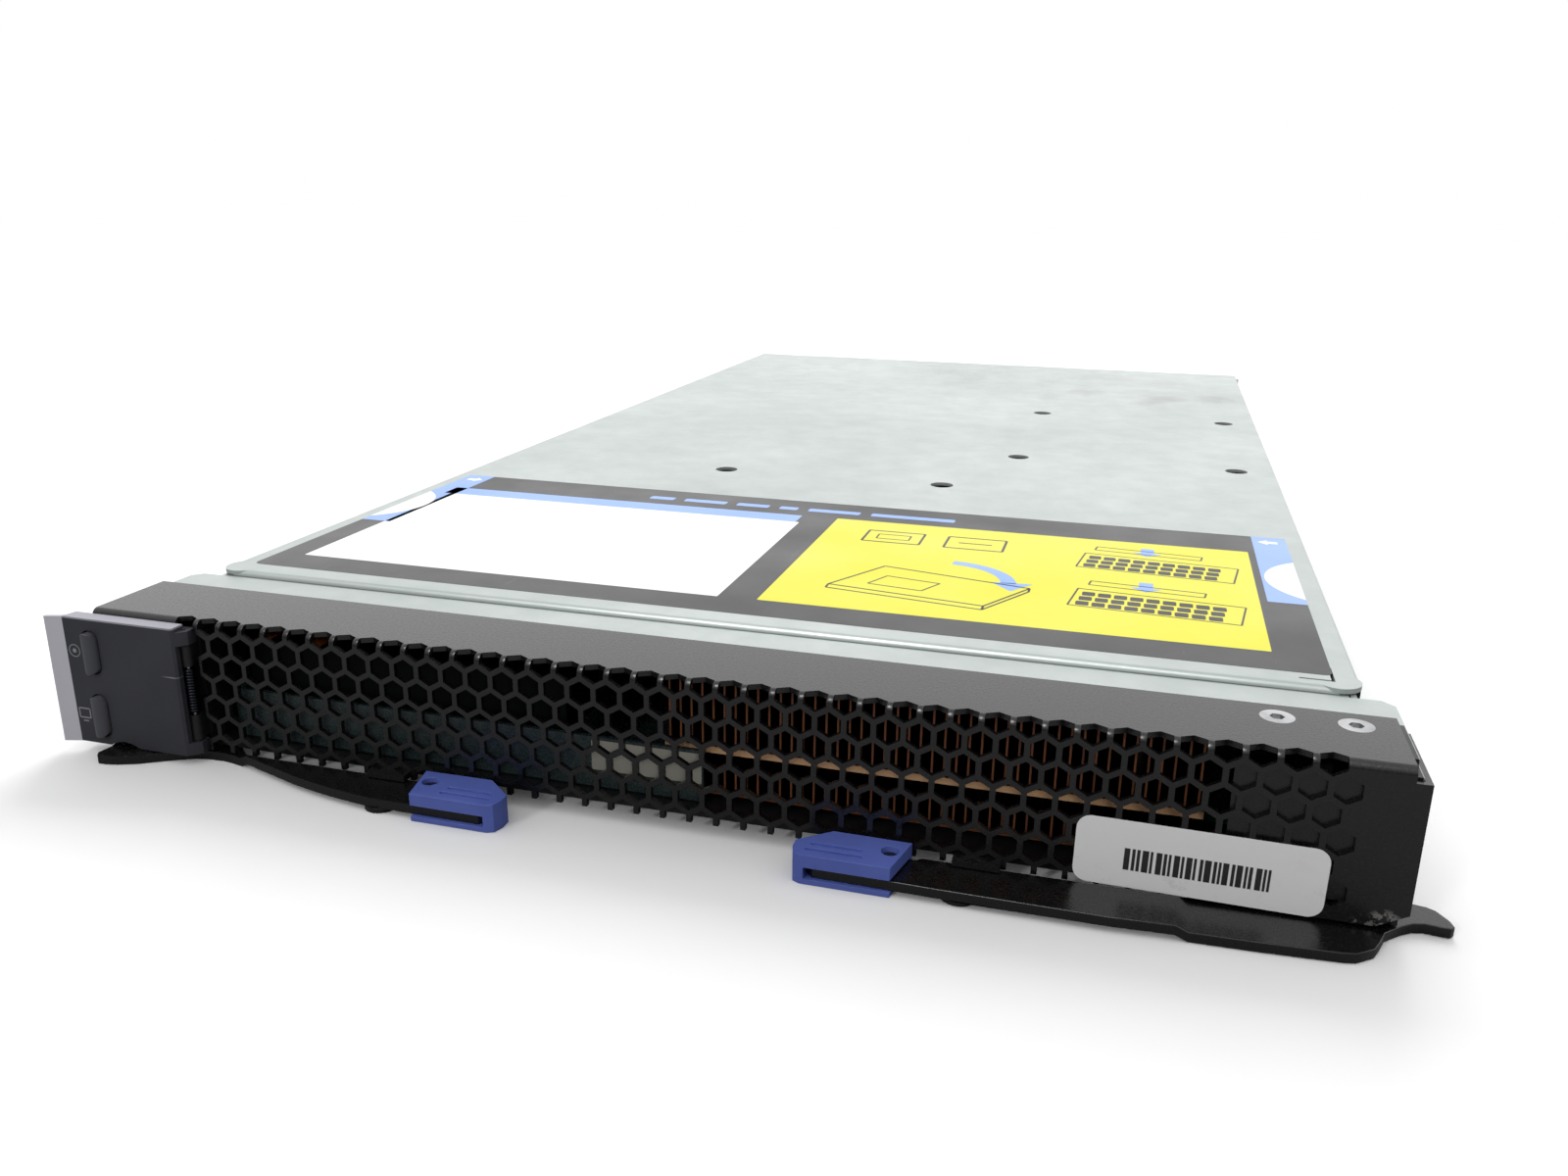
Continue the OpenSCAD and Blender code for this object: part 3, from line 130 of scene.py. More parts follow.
def ramp(tree, value, low, high, a=0.0, b=1.0):
    """value from low..high spread to a..b and held there."""
    return add(
        tree, "ShaderNodeMapRange",
        {"Value": value, "From Min": low, "From Max": high, "To Min": a, "To Max": b},
    ).outputs[0]


def mix(tree, amount, a, b):
    """Mixes two colours; either may be a hex string."""
    a, b = (linear(colour) if isinstance(colour, str) else colour for colour in (a, b))
    node = add(tree, "ShaderNodeMix", {0: amount, 6: a, 7: b}, data_type="RGBA", blend_type="MIX")
    return node.outputs[2]


def blend(tree, amount, a, b):
    """Mixes two values."""
    return add(tree, "ShaderNodeMix", {0: amount, 2: a, 3: b}, data_type="FLOAT").outputs[0]


def maths(tree, kind, a, b=0.0):
    return add(tree, "ShaderNodeMath", {0: a, 1: b}, operation=kind).outputs[0]


def product(tree, a, b):
    return maths(tree, "MULTIPLY", a, b)


def axes(tree, where):
    """The x, y and z of a position."""
    return add(tree, "ShaderNodeSeparateXYZ", {0: where}).outputs


def distance(tree, where, centre):
    """How far a position is from centre."""
    return add(
        tree, "ShaderNodeVectorMath", {0: where, 1: centre}, operation="DISTANCE"
    ).outputs["Value"]


def spot(tree, where, centre, radius_mm, soft_mm):
    """1 inside a round patch at centre, falling to 0 over soft_mm."""
    away = distance(tree, where, centre)
    return ramp(tree, away, radius_mm * MM, (radius_mm + soft_mm) * MM, 1.0, 0.0)


def band(tree, value, middle, half):
    """1 where value lies within half of middle."""
    away = maths(tree, "ABSOLUTE", maths(tree, "SUBTRACT", value, middle))
    return maths(tree, "LESS_THAN", away, half)


def bump(tree, shader, height, depth_mm, strength=1.0, before=None):
    """Adds relief, on top of an earlier normal if there is one."""
    inputs = {"Height": height, "Distance": depth_mm * MM, "Strength": strength}
    if before is not None:
        inputs["Normal"] = before
    normal = add(tree, "ShaderNodeBump", inputs).outputs[0]
    tree.links.new(normal, shader.inputs["Normal"])
    return normal


def set_inputs(shader, tree, **values):
    """Fills or links the shader's inputs, with _ for the spaces in their names."""
    for name, value in values.items():
        key = name.replace("_", " ")
        if isinstance(value, bpy.types.NodeSocket):
            tree.links.new(value, shader.inputs[key])
        else:
            shader.inputs[key].default_value = value


# ---------------------------------------------------------------- materials


def galvanised_steel():
    """Electro-galvanised sheet steel, rolled: a pale matt grey with a green cast, faint
    lengthwise rolling lines, cloudy patches and dark handling smudges. The parts under and
    behind the bezel are made near black and lose their metal sheen: painted shade."""
    smudge_at = (0.085, 0.125, COVER_TOP)
    streak_at = (0.0, 0.17, COVER_TOP)
    strip_end = FACE_Y + 19.3 * MM
    inner_end = FACE_Y + 44 * MM
    inner_top = RAIL[0].z + 0.6 * MM
    inner_side = RAIL[1].x - 0.1 * MM

    material, tree, shader, where = new_material("galvanised sheet steel, rolled")
    cloud = noise(tree, where, 60, 4)
    fine = noise(tree, where, 9, 5, 0.65)
    rolling = noise(tree, where, 1.2, 2, 0.5, (1, 0.02, 1))
    colour = mix(tree, ramp(tree, cloud, 0.3, 0.7), "#b4bcb9", "#c6cdca")
    colour = mix(tree, ramp(tree, fine, 0.35, 0.75, 0.0, 0.35), colour, "#abb3b1")
    smudge = product(tree, ramp(tree, noise(tree, where, 34, 5, 0.6), 0.55, 0.72),
                     spot(tree, where, smudge_at, 20, 60))
    streak = product(tree, ramp(tree, noise(tree, where, 20, 5, 0.7, (1, 0.45, 1)), 0.5, 0.7),
                     spot(tree, where, streak_at, 30, 90))
    colour = mix(tree, product(tree, smudge, 0.55), colour, "#8d8a88")
    colour = mix(tree, product(tree, streak, 0.35), colour, "#9b9c9b")
    x, y, z = axes(tree, where)
    strip = maths(tree, "LESS_THAN", y, strip_end)
    inner = product(tree, maths(tree, "LESS_THAN", y, inner_end),
                    maths(tree, "LESS_THAN", z, inner_top))
    inside = maths(tree, "LESS_THAN", maths(tree, "ABSOLUTE", x), inner_side)
    # painted shade: the strip behind the bezel and the low parts under its front are made near
    # black, with no metal sheen
    painted_shade = product(tree, maths(tree, "MAXIMUM", strip, inner), inside)
    colour = mix(tree, painted_shade, colour, "#17181b")
    bare = maths(tree, "SUBTRACT", 1.0, painted_shade)
    set_inputs(shader, tree, Base_Color=colour, Metallic=product(tree, bare, 0.55),
               Roughness=ramp(tree, fine, 0.2, 0.8, 0.34, 0.5))
    first = bump(tree, shader, rolling, 0.01, 0.35)
    bump(tree, shader, fine, 0.04, 0.25, first)
    return material


def powder_coat(name, base, lift, tip, worn=()):
    """Baked coat on steel: near black, with a fine even orange peel that scatters a broad grey
    sheen. worn lists the corners rubbed to bare metal: centre, radius and soft edge."""
    material, tree, shader, where = new_material(name)
    grain = noise(tree, where, 0.55, 2, 0.6)
    cloud = noise(tree, where, 25, 4)
    colour = mix(tree, ramp(tree, cloud, 0.3, 0.7), base, lift)
    colour = mix(tree, ramp(tree, grain, 0.5, 0.75, 0.0, 0.6), colour, tip)
    metal = None
    for centre, radius, soft in worn:
        patch = product(tree, spot(tree, where, centre, radius, soft),
                        ramp(tree, noise(tree, where, 1.3, 3, 0.6), 0.5, 0.53))
        metal = patch if metal is None else maths(tree, "MAXIMUM", metal, patch)
    if metal is not None:
        colour = mix(tree, metal, colour, "#a9a7a4")
        set_inputs(shader, tree, Metallic=product(tree, metal, 0.9))
    set_inputs(shader, tree, Base_Color=colour, Specular_IOR_Level=0.7,
               Roughness=ramp(tree, grain, 0.3, 0.7, 0.22, 0.34))
    bump(tree, shader, grain, 0.05, 0.5)
    return material


def moulded_plastic(name, base, lift, rough=0.42, grain_mm=0.4, grain_depth=0.015,
                    dirt="#1a1a1c"):
    """Moulded or pressed body: even colour with a fine grain, slightly shinier where it is
    handled, and a little grime."""
    material, tree, shader, where = new_material(name)
    grain = noise(tree, where, grain_mm, 2)
    cloud = noise(tree, where, 14, 4)
    grime = ramp(tree, noise(tree, where, 4, 6, 0.7), 0.58, 0.75, 0.0, 0.15)
    colour = mix(tree, ramp(tree, cloud, 0.3, 0.7), base, lift)
    colour = mix(tree, grime, colour, dirt)
    set_inputs(shader, tree, Base_Color=colour,
               Roughness=ramp(tree, cloud, 0.3, 0.7, rough - 0.06, rough + 0.08))
    bump(tree, shader, grain, grain_depth, 0.6)
    return material


def door_plastic():
    """Dark grey moulded ABS with a fine grain. The flared lip and the top edge are smooth and
    painted paler as painted highlights, and a light scratch runs across the face near the hinge."""
    lip_end = DOOR[0].x + 3.6 * MM
    top_edge = DOOR[1].z - 0.35 * MM
    scratch_at = (DOOR[1].x - 3.2 * MM, DOOR[0].y + 1.1 * MM, 18.7 * MM)
    scratch_half = 0.12 * MM

    material, tree, shader, where = new_material("ABS, moulded, dark grey")
    x, _, z = axes(tree, where)
    cloud = noise(tree, where, 14, 4)
    grain = noise(tree, where, 0.5, 2)
    lip = maths(tree, "LESS_THAN", x, lip_end)
    top = maths(tree, "GREATER_THAN", z, top_edge)
    colour = mix(tree, ramp(tree, cloud, 0.3, 0.7), "#2e2f35", "#36373d")
    # painted highlight: the top edge and the flared lip are made paler where light falls on them
    colour = mix(tree, top, colour, "#9a99a3")
    colour = mix(tree, lip, colour, "#c8c7cf")
    scratch = product(tree, spot(tree, where, scratch_at, 0.0, 2.6),
                      band(tree, z, scratch_at[2], scratch_half))
    colour = mix(tree, scratch, colour, "#8d8d92")
    set_inputs(shader, tree, Base_Color=colour,
               Roughness=ramp(tree, cloud, 0.3, 0.7, 0.36, 0.5))
    bump(tree, shader, grain, 0.02, 0.6)
    return material


def copper_sheet():
    """Bare skived copper: warm metal, drawn lines up the fins, darker tarnish in patches. The
    front of the first heat sink is darkened between the fins as painted shade, and its front
    edges carry painted highlights."""
    top_edge = SINK[1].z - 0.3 * MM
    fin_shade_full, fin_shade_end = SINK[0].y + 12 * MM, SINK[0].y + 30 * MM
    edge_end = SINK[0].y + 0.35 * MM
    plate_middle, plate_half = 13.3 * MM, 0.7 * MM

    material, tree, shader, where = new_material("bare copper, skived")
    _, y, z = axes(tree, where)
    tarnish = noise(tree, where, 18, 5)
    lines = noise(tree, where, 0.8, 2, 0.5, (1, 1, 0.1))
    colour = mix(tree, ramp(tree, tarnish, 0.35, 0.7), "#b97a50", "#8a563a")
    # painted shade: the fins are darkened near the front, below the top edge
    fin_shade = product(tree, maths(tree, "LESS_THAN", z, top_edge),
                   ramp(tree, y, fin_shade_full, fin_shade_end, 1.0, 0.0))
    colour = mix(tree, fin_shade, colour, "#341b11")
    # painted highlight: the front edges are made paler and less metallic, brightest along the
    # plate's edge
    front = maths(tree, "LESS_THAN", y, edge_end)
    edges = mix(tree, band(tree, z, plate_middle, plate_half), "#8a5638", "#f0bf90")
    colour = mix(tree, front, colour, edges)
    set_inputs(shader, tree, Base_Color=colour, Metallic=ramp(tree, front, 0, 1, 0.9, 0.35),
               Roughness=ramp(tree, tarnish, 0.3, 0.7, 0.34, 0.5))
    bump(tree, shader, lines, 0.02, 0.4)
    return material


def drive_casting():
    """Cast aluminium drive body: a pale satin machined casting, made near black at its front as
    painted shade.
    """
    shade_end, shade_fade = DRIVE[0].y + 15 * MM, DRIVE[0].y + 15.4 * MM

    material, tree, shader, where = new_material("cast aluminium, machined, front in painted shade")
    _, y, _ = axes(tree, where)
    cloud = noise(tree, where, 14, 4)
    grain = noise(tree, where, 0.8, 2)
    # painted shade: the drive's front is made near black and loses its metal sheen
    front = ramp(tree, y, shade_end, shade_fade, 1.0, 0.0)
    metal = mix(tree, ramp(tree, cloud, 0.3, 0.7), "#a9abad", "#8f9193")
    colour = mix(tree, front, metal, "#090b0c")
    set_inputs(shader, tree, Base_Color=colour, Metallic=ramp(tree, front, 0, 1, 0.85, 0.0),
               Specular_IOR_Level=0.12, Roughness=ramp(tree, cloud, 0.3, 0.7, 0.32, 0.46))
    bump(tree, shader, grain, 0.02, 0.5)
    return material


def bright_metal(name, base, dark, rough=0.3, size_mm=6.0, stretch=(1, 1, 1)):
    """Turned, drawn or plated metal: neutral and shiny with fine tool lines and dull spots."""
    material, tree, shader, where = new_material(name)
    spots = noise(tree, where, size_mm, 5)
    lines = noise(tree, where, 0.5, 2, 0.5, stretch)
    colour = mix(tree, ramp(tree, spots, 0.35, 0.75), base, dark)
    set_inputs(shader, tree, Base_Color=colour, Metallic=1.0,
               Roughness=ramp(tree, spots, 0.3, 0.7, rough - 0.06, rough + 0.12))
    bump(tree, shader, lines, 0.01, 0.4)
    return material


def circuit_board():
    """Solder mask over copper: deep green gloss with faint raised tracks and pale pads."""
    material, tree, shader, where = new_material("fibreglass board, solder mask")
    tracks = add(
        tree, "ShaderNodeTexBrick",
        {"Vector": where, "Scale": 300.0, "Mortar Size": 0.06, "Brick Width": 1.7,
         "Row Height": 0.4, "Color1": (1, 1, 1, 1), "Color2": (0.6, 0.6, 0.6, 1),
         "Mortar": (0, 0, 0, 1)},
    ).outputs["Color"]
    cells = add(tree, "ShaderNodeTexVoronoi", {"Vector": where, "Scale": 420.0})
    pads = ramp(tree, cells.outputs["Distance"], 0.12, 0.16, 1.0, 0.0)
    gate = ramp(tree, noise(tree, where, 16, 2), 0.52, 0.56)
    colour = mix(tree, tracks, "#0d4a2c", "#15603a")
    colour = mix(tree, product(tree, product(tree, pads, gate), 0.8), colour, "#c9c6b8")
    set_inputs(shader, tree, Base_Color=colour, Roughness=0.32)
    bump(tree, shader, tracks, 0.03, 0.5)
    return material


def printed_film(name, base, rough=0.34, scuffs=0.25, dirt="#8f8f8f"):
    """Printed film, paper, tape or ink: flat colour under a satin surface, with fine scuffs
    and small creases."""
    material, tree, shader, where = new_material(name)
    cloud = noise(tree, where, 30, 4)
    scratch = noise(tree, where, 3.0, 4, 0.7, (1, 0.12, 1), (0, 0, 0.5))
    marks = ramp(tree, scratch, 0.66, 0.74, 0.0, scuffs)
    colour = mix(tree, ramp(tree, cloud, 0.35, 0.7, 0.0, 0.06), base, dirt)
    colour = mix(tree, marks, colour, dirt)
    set_inputs(shader, tree, Base_Color=colour,
               Roughness=ramp(tree, cloud, 0.3, 0.7, rough - 0.05, rough + 0.1))
    bump(tree, shader, cloud, 0.15, 0.15)
    return material


def sticker_vinyl():
    """White vinyl pressed over the bezel: off white, with the holes showing as shallow dents
    and brown grime along its edge."""
    dent_pitch_mm = 5.06
    material, tree, shader, where = new_material("vinyl film, white, pressed on")
    grime = ramp(tree, noise(tree, where, 5, 6, 0.75), 0.56, 0.72, 0.0, 0.4)
    low = ramp(tree, axes(tree, where)[2], 3 * MM, 8 * MM, 1.0, 0.1)
    colour = mix(tree, product(tree, grime, low), "#f2f2f3", "#7d6a52")
    cells = add(tree, "ShaderNodeTexVoronoi",
                {"Vector": where, "Scale": 1000 / dent_pitch_mm, "Randomness": 0.0})
    dents = ramp(tree, cells.outputs["Distance"], 0.3, 0.45)
    set_inputs(shader, tree, Base_Color=colour, Roughness=0.42)
    bump(tree, shader, dents, 0.08, 0.25)
    return material


def floor_board():
    """Painted board, matt white. The part mirrors it as a grey board in front of a dark room,
    and the camera sees it brighten with distance until it meets the white background."""
    glow_start, glow_full = 0.45, 1.3
    material, tree, shader, where = new_material("painted board, matt white")
    cloud = noise(tree, where, 80, 4)
    seen = add(tree, "ShaderNodeLightPath").outputs["Is Camera Ray"]
    pale = mix(tree, ramp(tree, cloud, 0.3, 0.7), "#f7f7f7", "#fbfbfb")
    far = distance(tree, where, (0.0, 0.0, 0.0))
    glow = product(tree, ramp(tree, far, glow_start, glow_full, 0.03, 1.0), seen)
    set_inputs(shader, tree, Base_Color=mix(tree, seen, "#8a8a8b", pale), Roughness=0.7,
               Specular_IOR_Level=0.2, Emission_Strength=glow, Emission_Color=(1, 1, 1, 1))
    bump(tree, shader, noise(tree, where, 2, 3), 0.02, 0.2)
    return material


def finishes():
    """One material for each of the record's slots, and a darker copy of the black coat for the
    levers, as painted shade.
    """
    worn_corner = [
        ((BEZEL[1].x - 3.5 * MM, FACE_Y, BEZEL[0].z + 0.2 * MM), 1.5, 1.6),
        ((BEZEL[1].x - 7.0 * MM, FACE_Y, BEZEL[0].z), 0.8, 1.0),
    ]
    return {
        "galvanised_steel": galvanised_steel(),
        "black_painted_steel": powder_coat(
            "black powder coat, fine texture", "#08080a", "#0e0e11", "#1c1b1f", worn_corner),
        "steel_hardware": bright_metal("zinc-plated steel, turned", "#c9cacc", "#9d9ea0", 0.28),
        "spring_steel": bright_metal("spring wire, drawn and blued", "#33353b", "#1f2024", 0.3),
        "circuit_board": circuit_board(),
        "connector_plastic": moulded_plastic(
            "glass-filled nylon, moulded", "#141416", "#1f1f22", 0.5),
        "nickel_lid": bright_metal("nickel-plated copper, stamped", "#c4c3be", "#96958f", 0.3),
        "copper": copper_sheet(),
        "natural_plastic": moulded_plastic(
            "unpainted nylon, moulded", "#dad7cb", "#cfcbbd", 0.45, dirt="#8a8578"),
        "dark_tray_steel": powder_coat(
            "dark green-grey electrocoat, smooth", "#263133", "#2d393a", "#3a4442"),
        "drive_aluminium": drive_casting(),
        "blue_plastic": moulded_plastic(
            "ABS, moulded, blue", "#5566b4", "#6071c2", 0.34, dirt="#2c3564"),
        "battery_steel": bright_metal("nickel-plated steel, pressed", "#d0d0d0", "#b0b0b0", 0.2),
        "sink_aluminium": bright_metal(
            "aluminium, extruded", "#b5b7b9", "#96989b", 0.34, 9, (1, 0.05, 1)),
        "coil_ferrite": moulded_plastic("ferrite, pressed", "#2b2b2e", "#3a3a3d", 0.7, 0.8, 0.05),
        "capacitor_sleeve": moulded_plastic(
            "shrink sleeve, printed blue", "#1d2560", "#28307a", 0.3),
        "panel_plastic": moulded_plastic("ABS, moulded, black", "#151517", "#1d1d20", 0.48),
        "button_white": moulded_plastic(
            "ABS, moulded, white", "#d4d5d6", "#c6c7c8", 0.4, dirt="#8a8a8a"),
        "door_plastic": door_plastic(),
        # painted shade: a darker copy of the black coat for the levers
        "lever_paint_shaded": powder_coat(
            "black coat, darker copy as painted shade", "#050506", "#08080a", "#101013"),
        "button_grey": moulded_plastic("ABS, moulded, mid grey", "#45464b", "#4f5056", 0.4),
    }


FINISH = {}
LEVERS = ("lever_left", "lever_right")


def finish(node):
    """The finish of a CAD node: its slot's, but the levers get a darker copy of the bezel's black
    coat, as painted shade.
    """
    if not FINISH:
        FINISH.update(finishes())
    return FINISH["lever_paint_shaded" if node in LEVERS else SLOTS[node]]


# ---------------------------------------------------------------- mesh helpers


def clear_selection():
    if bpy.context.object is not None and bpy.context.object.mode != "OBJECT":
        bpy.ops.object.mode_set(mode="OBJECT")
    bpy.ops.object.select_all(action="DESELECT")


def activate(piece):
    clear_selection()
    piece.select_set(True)
    bpy.context.view_layer.objects.active = piece


def settle(piece, name, material, body):
    """Names a piece, bakes its place into its mesh, gives it its finish and lets it ride."""
    activate(piece)
    bpy.ops.object.transform_apply(location=True, rotation=True, scale=True)
    piece.name = name
    piece.data.name = name
    piece.data.materials.clear()
    piece.data.materials.append(material)
    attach(piece, body)
    return piece


def softened(node, width_mm, segments=2):
    """Stands in for a CAD node with the same shape, its sharp edges rounded."""
    merge_distance = 2e-6
    flat_angle, sharp_angle, smooth_angle = (math.radians(a) for a in (0.6, 28, 35))
    activate(NODES[node])
    bpy.ops.object.duplicate()
    piece = bpy.context.object
    piece.parent = None
    for key in [k for k in piece.keys() if k.startswith("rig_")]:
        del piece[key]
    bpy.ops.object.mode_set(mode="EDIT")
    bpy.ops.mesh.select_all(action="SELECT")
    bpy.ops.mesh.remove_doubles(threshold=merge_distance)
    bpy.ops.mesh.dissolve_limited(angle_limit=flat_angle)
    bpy.ops.object.mode_set(mode="OBJECT")
    bevel = piece.modifiers.new("edges", "BEVEL")
    bevel.width = width_mm * MM
    bevel.segments = segments
    bevel.limit_method = "ANGLE"
    bevel.angle_limit = sharp_angle
    bpy.ops.object.modifier_apply(modifier="edges")
    bpy.ops.object.shade_smooth_by_angle(angle=smooth_angle)
    weighted = piece.modifiers.new("flats", "WEIGHTED_NORMAL")
    weighted.weight = 100
    weighted.keep_sharp = True
    bpy.ops.object.modifier_apply(modifier="flats")
    piece = settle(piece, node + "_soft", finish(node), BODIES[node])
    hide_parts(node)
    return piece


def cut_sheet(outline, low, high, axis="Z"):
    """A flat sheet cut to an outline, from low to high along its axis. Z outlines are (x, y),
    Y outlines are (x, z)."""
    clear_selection()
    bpy.ops.mesh.primitive_circle_add(vertices=len(outline), radius=0.01, fill_type="NGON")
    piece = bpy.context.object
    for vertex, point in zip(piece.data.vertices, outline):
        if axis == "Z":
            vertex.co = (point[0], point[1], low)
        else:
            vertex.co = (point[0], low, point[1])
    step = (0, 0, high - low) if axis == "Z" else (0, high - low, 0)
    bpy.ops.object.mode_set(mode="EDIT")
    bpy.ops.mesh.select_all(action="SELECT")
    bpy.ops.mesh.extrude_region_move(TRANSFORM_OT_translate={"value": step})
    bpy.ops.mesh.select_all(action="SELECT")
    bpy.ops.mesh.normals_make_consistent(inside=False)
    bpy.ops.object.mode_set(mode="OBJECT")
    return piece


def join(pieces):
    """Joins several pieces into the first."""
    clear_selection()
    for piece in pieces:
        piece.select_set(True)
    bpy.context.view_layer.objects.active = pieces[0]
    bpy.ops.object.join()
    return pieces[0]


def arc(centre, radii, start, sweep, steps):
    """Points along an arc from start over sweep degrees, both ends included."""
    points = []
    for i in range(steps + 1):
        a = math.radians(start + sweep * i / steps)
        points.append((centre[0] + radii[0] * math.cos(a), centre[1] + radii[1] * math.sin(a)))
    return points


def rounded(x0, x1, y0, y1, r, steps=5):
    """Outline of a rectangle with rounded corners."""
    corners = ((x1 - r, y1 - r, 0), (x0 + r, y1 - r, 90), (x0 + r, y0 + r, 180),
               (x1 - r, y0 + r, 270))
    return [point for x, y, start in corners for point in arc((x, y), (r, r), start, 90, steps)]


def stroke(a, b, width):
    """Outline of a straight stroke from a to b."""
    (x0, y0), (x1, y1) = a, b
    length = math.hypot(x1 - x0, y1 - y0)
    nx, ny = -(y1 - y0) / length * width / 2, (x1 - x0) / length * width / 2
    return [(x0 + nx, y0 + ny), (x0 - nx, y0 - ny), (x1 - nx, y1 - ny), (x1 + nx, y1 + ny)]


# ---------------------------------------------------------------- the cover label's parts
# Places on the label are in millimetres: x from the middle, y behind the bezel's face.


def on_label(points):
    return [(x * MM, FACE_Y + y * MM) for x, y in points]


def panel(x0, x1, y0, y1, r=0.3, steps=5):
    """Outline of a rounded panel of the label."""
    return rounded(x0 * MM, x1 * MM, FACE_Y + y0 * MM, FACE_Y + y1 * MM, r * MM, steps)


def label_side(side, name, edge, inks, lower, upper):
    """The blue patch at one side of the label, with its white disc and arrow."""
    patch_x = 104.6 * MM
    disc_x, disc_y, disc_r = 123.4 * MM, 96.6 * MM, 18.15 * MM
    arrow_x = 105.9
    near, far = sorted((side * patch_x, side * edge))
    patch = rounded(near, far, FACE_Y + 78.6 * MM, FACE_Y + 133 * MM, 0.3 * MM)
    settle(cut_sheet(patch, *lower), "label_patch_" + name, inks["blue"], "cover")
    # the disc is cut off straight at the label's edge
    reach = math.degrees(math.acos((disc_x - edge) / disc_r))
    disc = arc((disc_x, FACE_Y + disc_y), (disc_r, disc_r), 180 - reach, 2 * reach, 20)
    disc = [(side * x, y) for x, y in disc]
    settle(cut_sheet(disc, *upper), "label_disc_" + name, inks["white"], "cover")
    arrow = on_label(
        (side * (arrow_x + along), y)
        for along, y in ((0, 128), (2.2, 130.2), (2.2, 129), (4.6, 129), (4.6, 127),
                         (2.2, 127), (2.2, 125.8)))
    settle(cut_sheet(arrow, *upper), "label_arrow_" + name, inks["white"], "cover")


def heading_bars(lower):
    """A row of plain bars where a heading would run."""
    bars, x, gap = [], -52, 3
    for length in (7, 12, 9, 5, 14, 22):
        bars.append(cut_sheet(panel(x, x + length, 122.6, 125.6, 0.6), *lower))
        x += length + gap
    return join(bars)


def diagrams(upper):
    """Line drawings: a tray, two windows, and two banks of slots with a card over each."""
    lines = []

    def trace(points, width=0.5, closed=True):
        points = on_label(points)
        ring = points + points[:1] if closed else points
        for a, b in zip(ring, ring[1:]):
            lines.append(cut_sheet(stroke(a, b, width * MM), *upper))

    trace([(14, 62), (48, 57), (56, 72), (23, 79)])
    trace([(14, 62), (14, 59.5), (48, 54.5), (48, 57)], closed=False)
    trace([(48, 54.5), (56, 69.5), (56, 72)], closed=False)
    trace([(22, 65), (34, 63.2), (37, 69.5), (25, 71.7)], 0.4)
    trace([(13, 99), (27, 99), (27, 109), (13, 109)], 0.6)
    trace([(16, 102), (24, 102), (24, 106), (16, 106)], 0.4)
    trace([(33, 99), (47, 99), (47, 109), (33, 109)], 0.6)
    trace([(36, 104), (44, 104)], 0.6, closed=False)
    slot = 2.7
    for bank in (64, 93):
        for row in range(3):
            for column in range(9):
                x = 66 + column * 3.3 + row * 0.5
                y = bank + row * 3.4 - column * 0.28
                lines.append(cut_sheet(panel(x, x + slot, y, y + slot, steps=1), *upper))
        trace([(64.5, bank - 0.5), (98.5, bank - 3.4), (100, bank + 8.6), (66, bank + 11.6)], 0.4)
        trace([(68, bank + 15), (92, bank + 13), (92.4, bank + 16), (68.4, bank + 18)], 0.4)
    return join(lines)


def diagram_arrows(upper):
    """The swing arrow over the tray and the arrow over each bank of slots."""
    hub, start, sweep, steps = (36, 73), 5, 80, 12
    swing = arc(hub, (17, 15), start, sweep, steps)
    swing += arc(hub, (13.6, 12.2), start + sweep, -sweep, steps)
    outlines = [swing, [(47.5, 74.2), (56.3, 75.2), (52.2, 68.8)]]
    middle, shaft, head = 80, 1.5, 3.4
    for y in (84, 112.5):
        outlines.append([
            (middle - shaft, y), (middle - shaft, y - 4), (middle - head, y - 4),
            (middle, y - 7), (middle + head, y - 4), (middle + shaft, y - 4), (middle + shaft, y)])
    return join([cut_sheet(on_label(outline), *upper) for outline in outlines])


# ---------------------------------------------------------------- properties


class BladeLabelSettings(bpy.types.PropertyGroup):
    """Sizes of the cover label."""

    inset: bpy.props.FloatProperty(
        name="Inset", description="Gap between the cover's sides and the label",
        default=4.5 * MM, min=0.0, unit="LENGTH")
    depth: bpy.props.FloatProperty(
        name="Depth", description="Depth of the cover label",
        default=96.0 * MM, min=0.02, unit="LENGTH")
    sheet: bpy.props.FloatProperty(
        name="Thickness", description="Thickness of the label's film",
        default=0.035 * MM, min=1e-5, unit="LENGTH")


class BladeStageSettings(bpy.types.PropertyGroup):
    """Size of the floor and power of the lamps."""

    floor_size: bpy.props.FloatProperty(
        name="Floor", description="Width of the floor", default=6.0, min=1.0, unit="LENGTH")
    key_power: bpy.props.FloatProperty(
        name="Key light", description="Power of the overhead light",
        default=26.0, min=0.0, unit="POWER")
    fill_power: bpy.props.FloatProperty(
        name="Fill light", description="Power of the light from the front left",
        default=4.8, min=0.0, unit="POWER")
    glint_power: bpy.props.FloatProperty(
        name="Glint light", description="Power of the light that draws highlights along edges",
        default=7.5, min=0.0, unit="POWER")


# ---------------------------------------------------------------- operators


class BLADE_OT_finish_nodes(bpy.types.Operator):
    """Give every CAD node its finish"""

    bl_idname = "blade.finish_nodes"
    bl_label = "Finish the CAD nodes"

    def execute(self, context):
        for name, node in NODES.items():
            node.data.materials.clear()
            node.data.materials.append(finish(name))
        return {"FINISHED"}


class BLADE_OT_soften_front(bpy.types.Operator):
    """Round the edges of the bezel, the door, the buttons, the levers, their grips and the cover
    latches"""

    bl_idname = "blade.soften_front"
    bl_label = "Soften the front"

    def execute(self, context):
        softened("front_bezel", 0.22)
        softened("panel_door", 0.25)
        for node in ("disc_select_button", "console_select_button"):
            softened(node, 0.3, 3)
        for node in LEVERS:
            softened(node, 0.2)
        for node in ("lever_tip_left", "lever_tip_right"):
            softened(node, 0.35, 3)
        for node in ("cover_latch_left", "cover_latch_right"):
            softened(node, 0.4, 3)
        return {"FINISHED"}


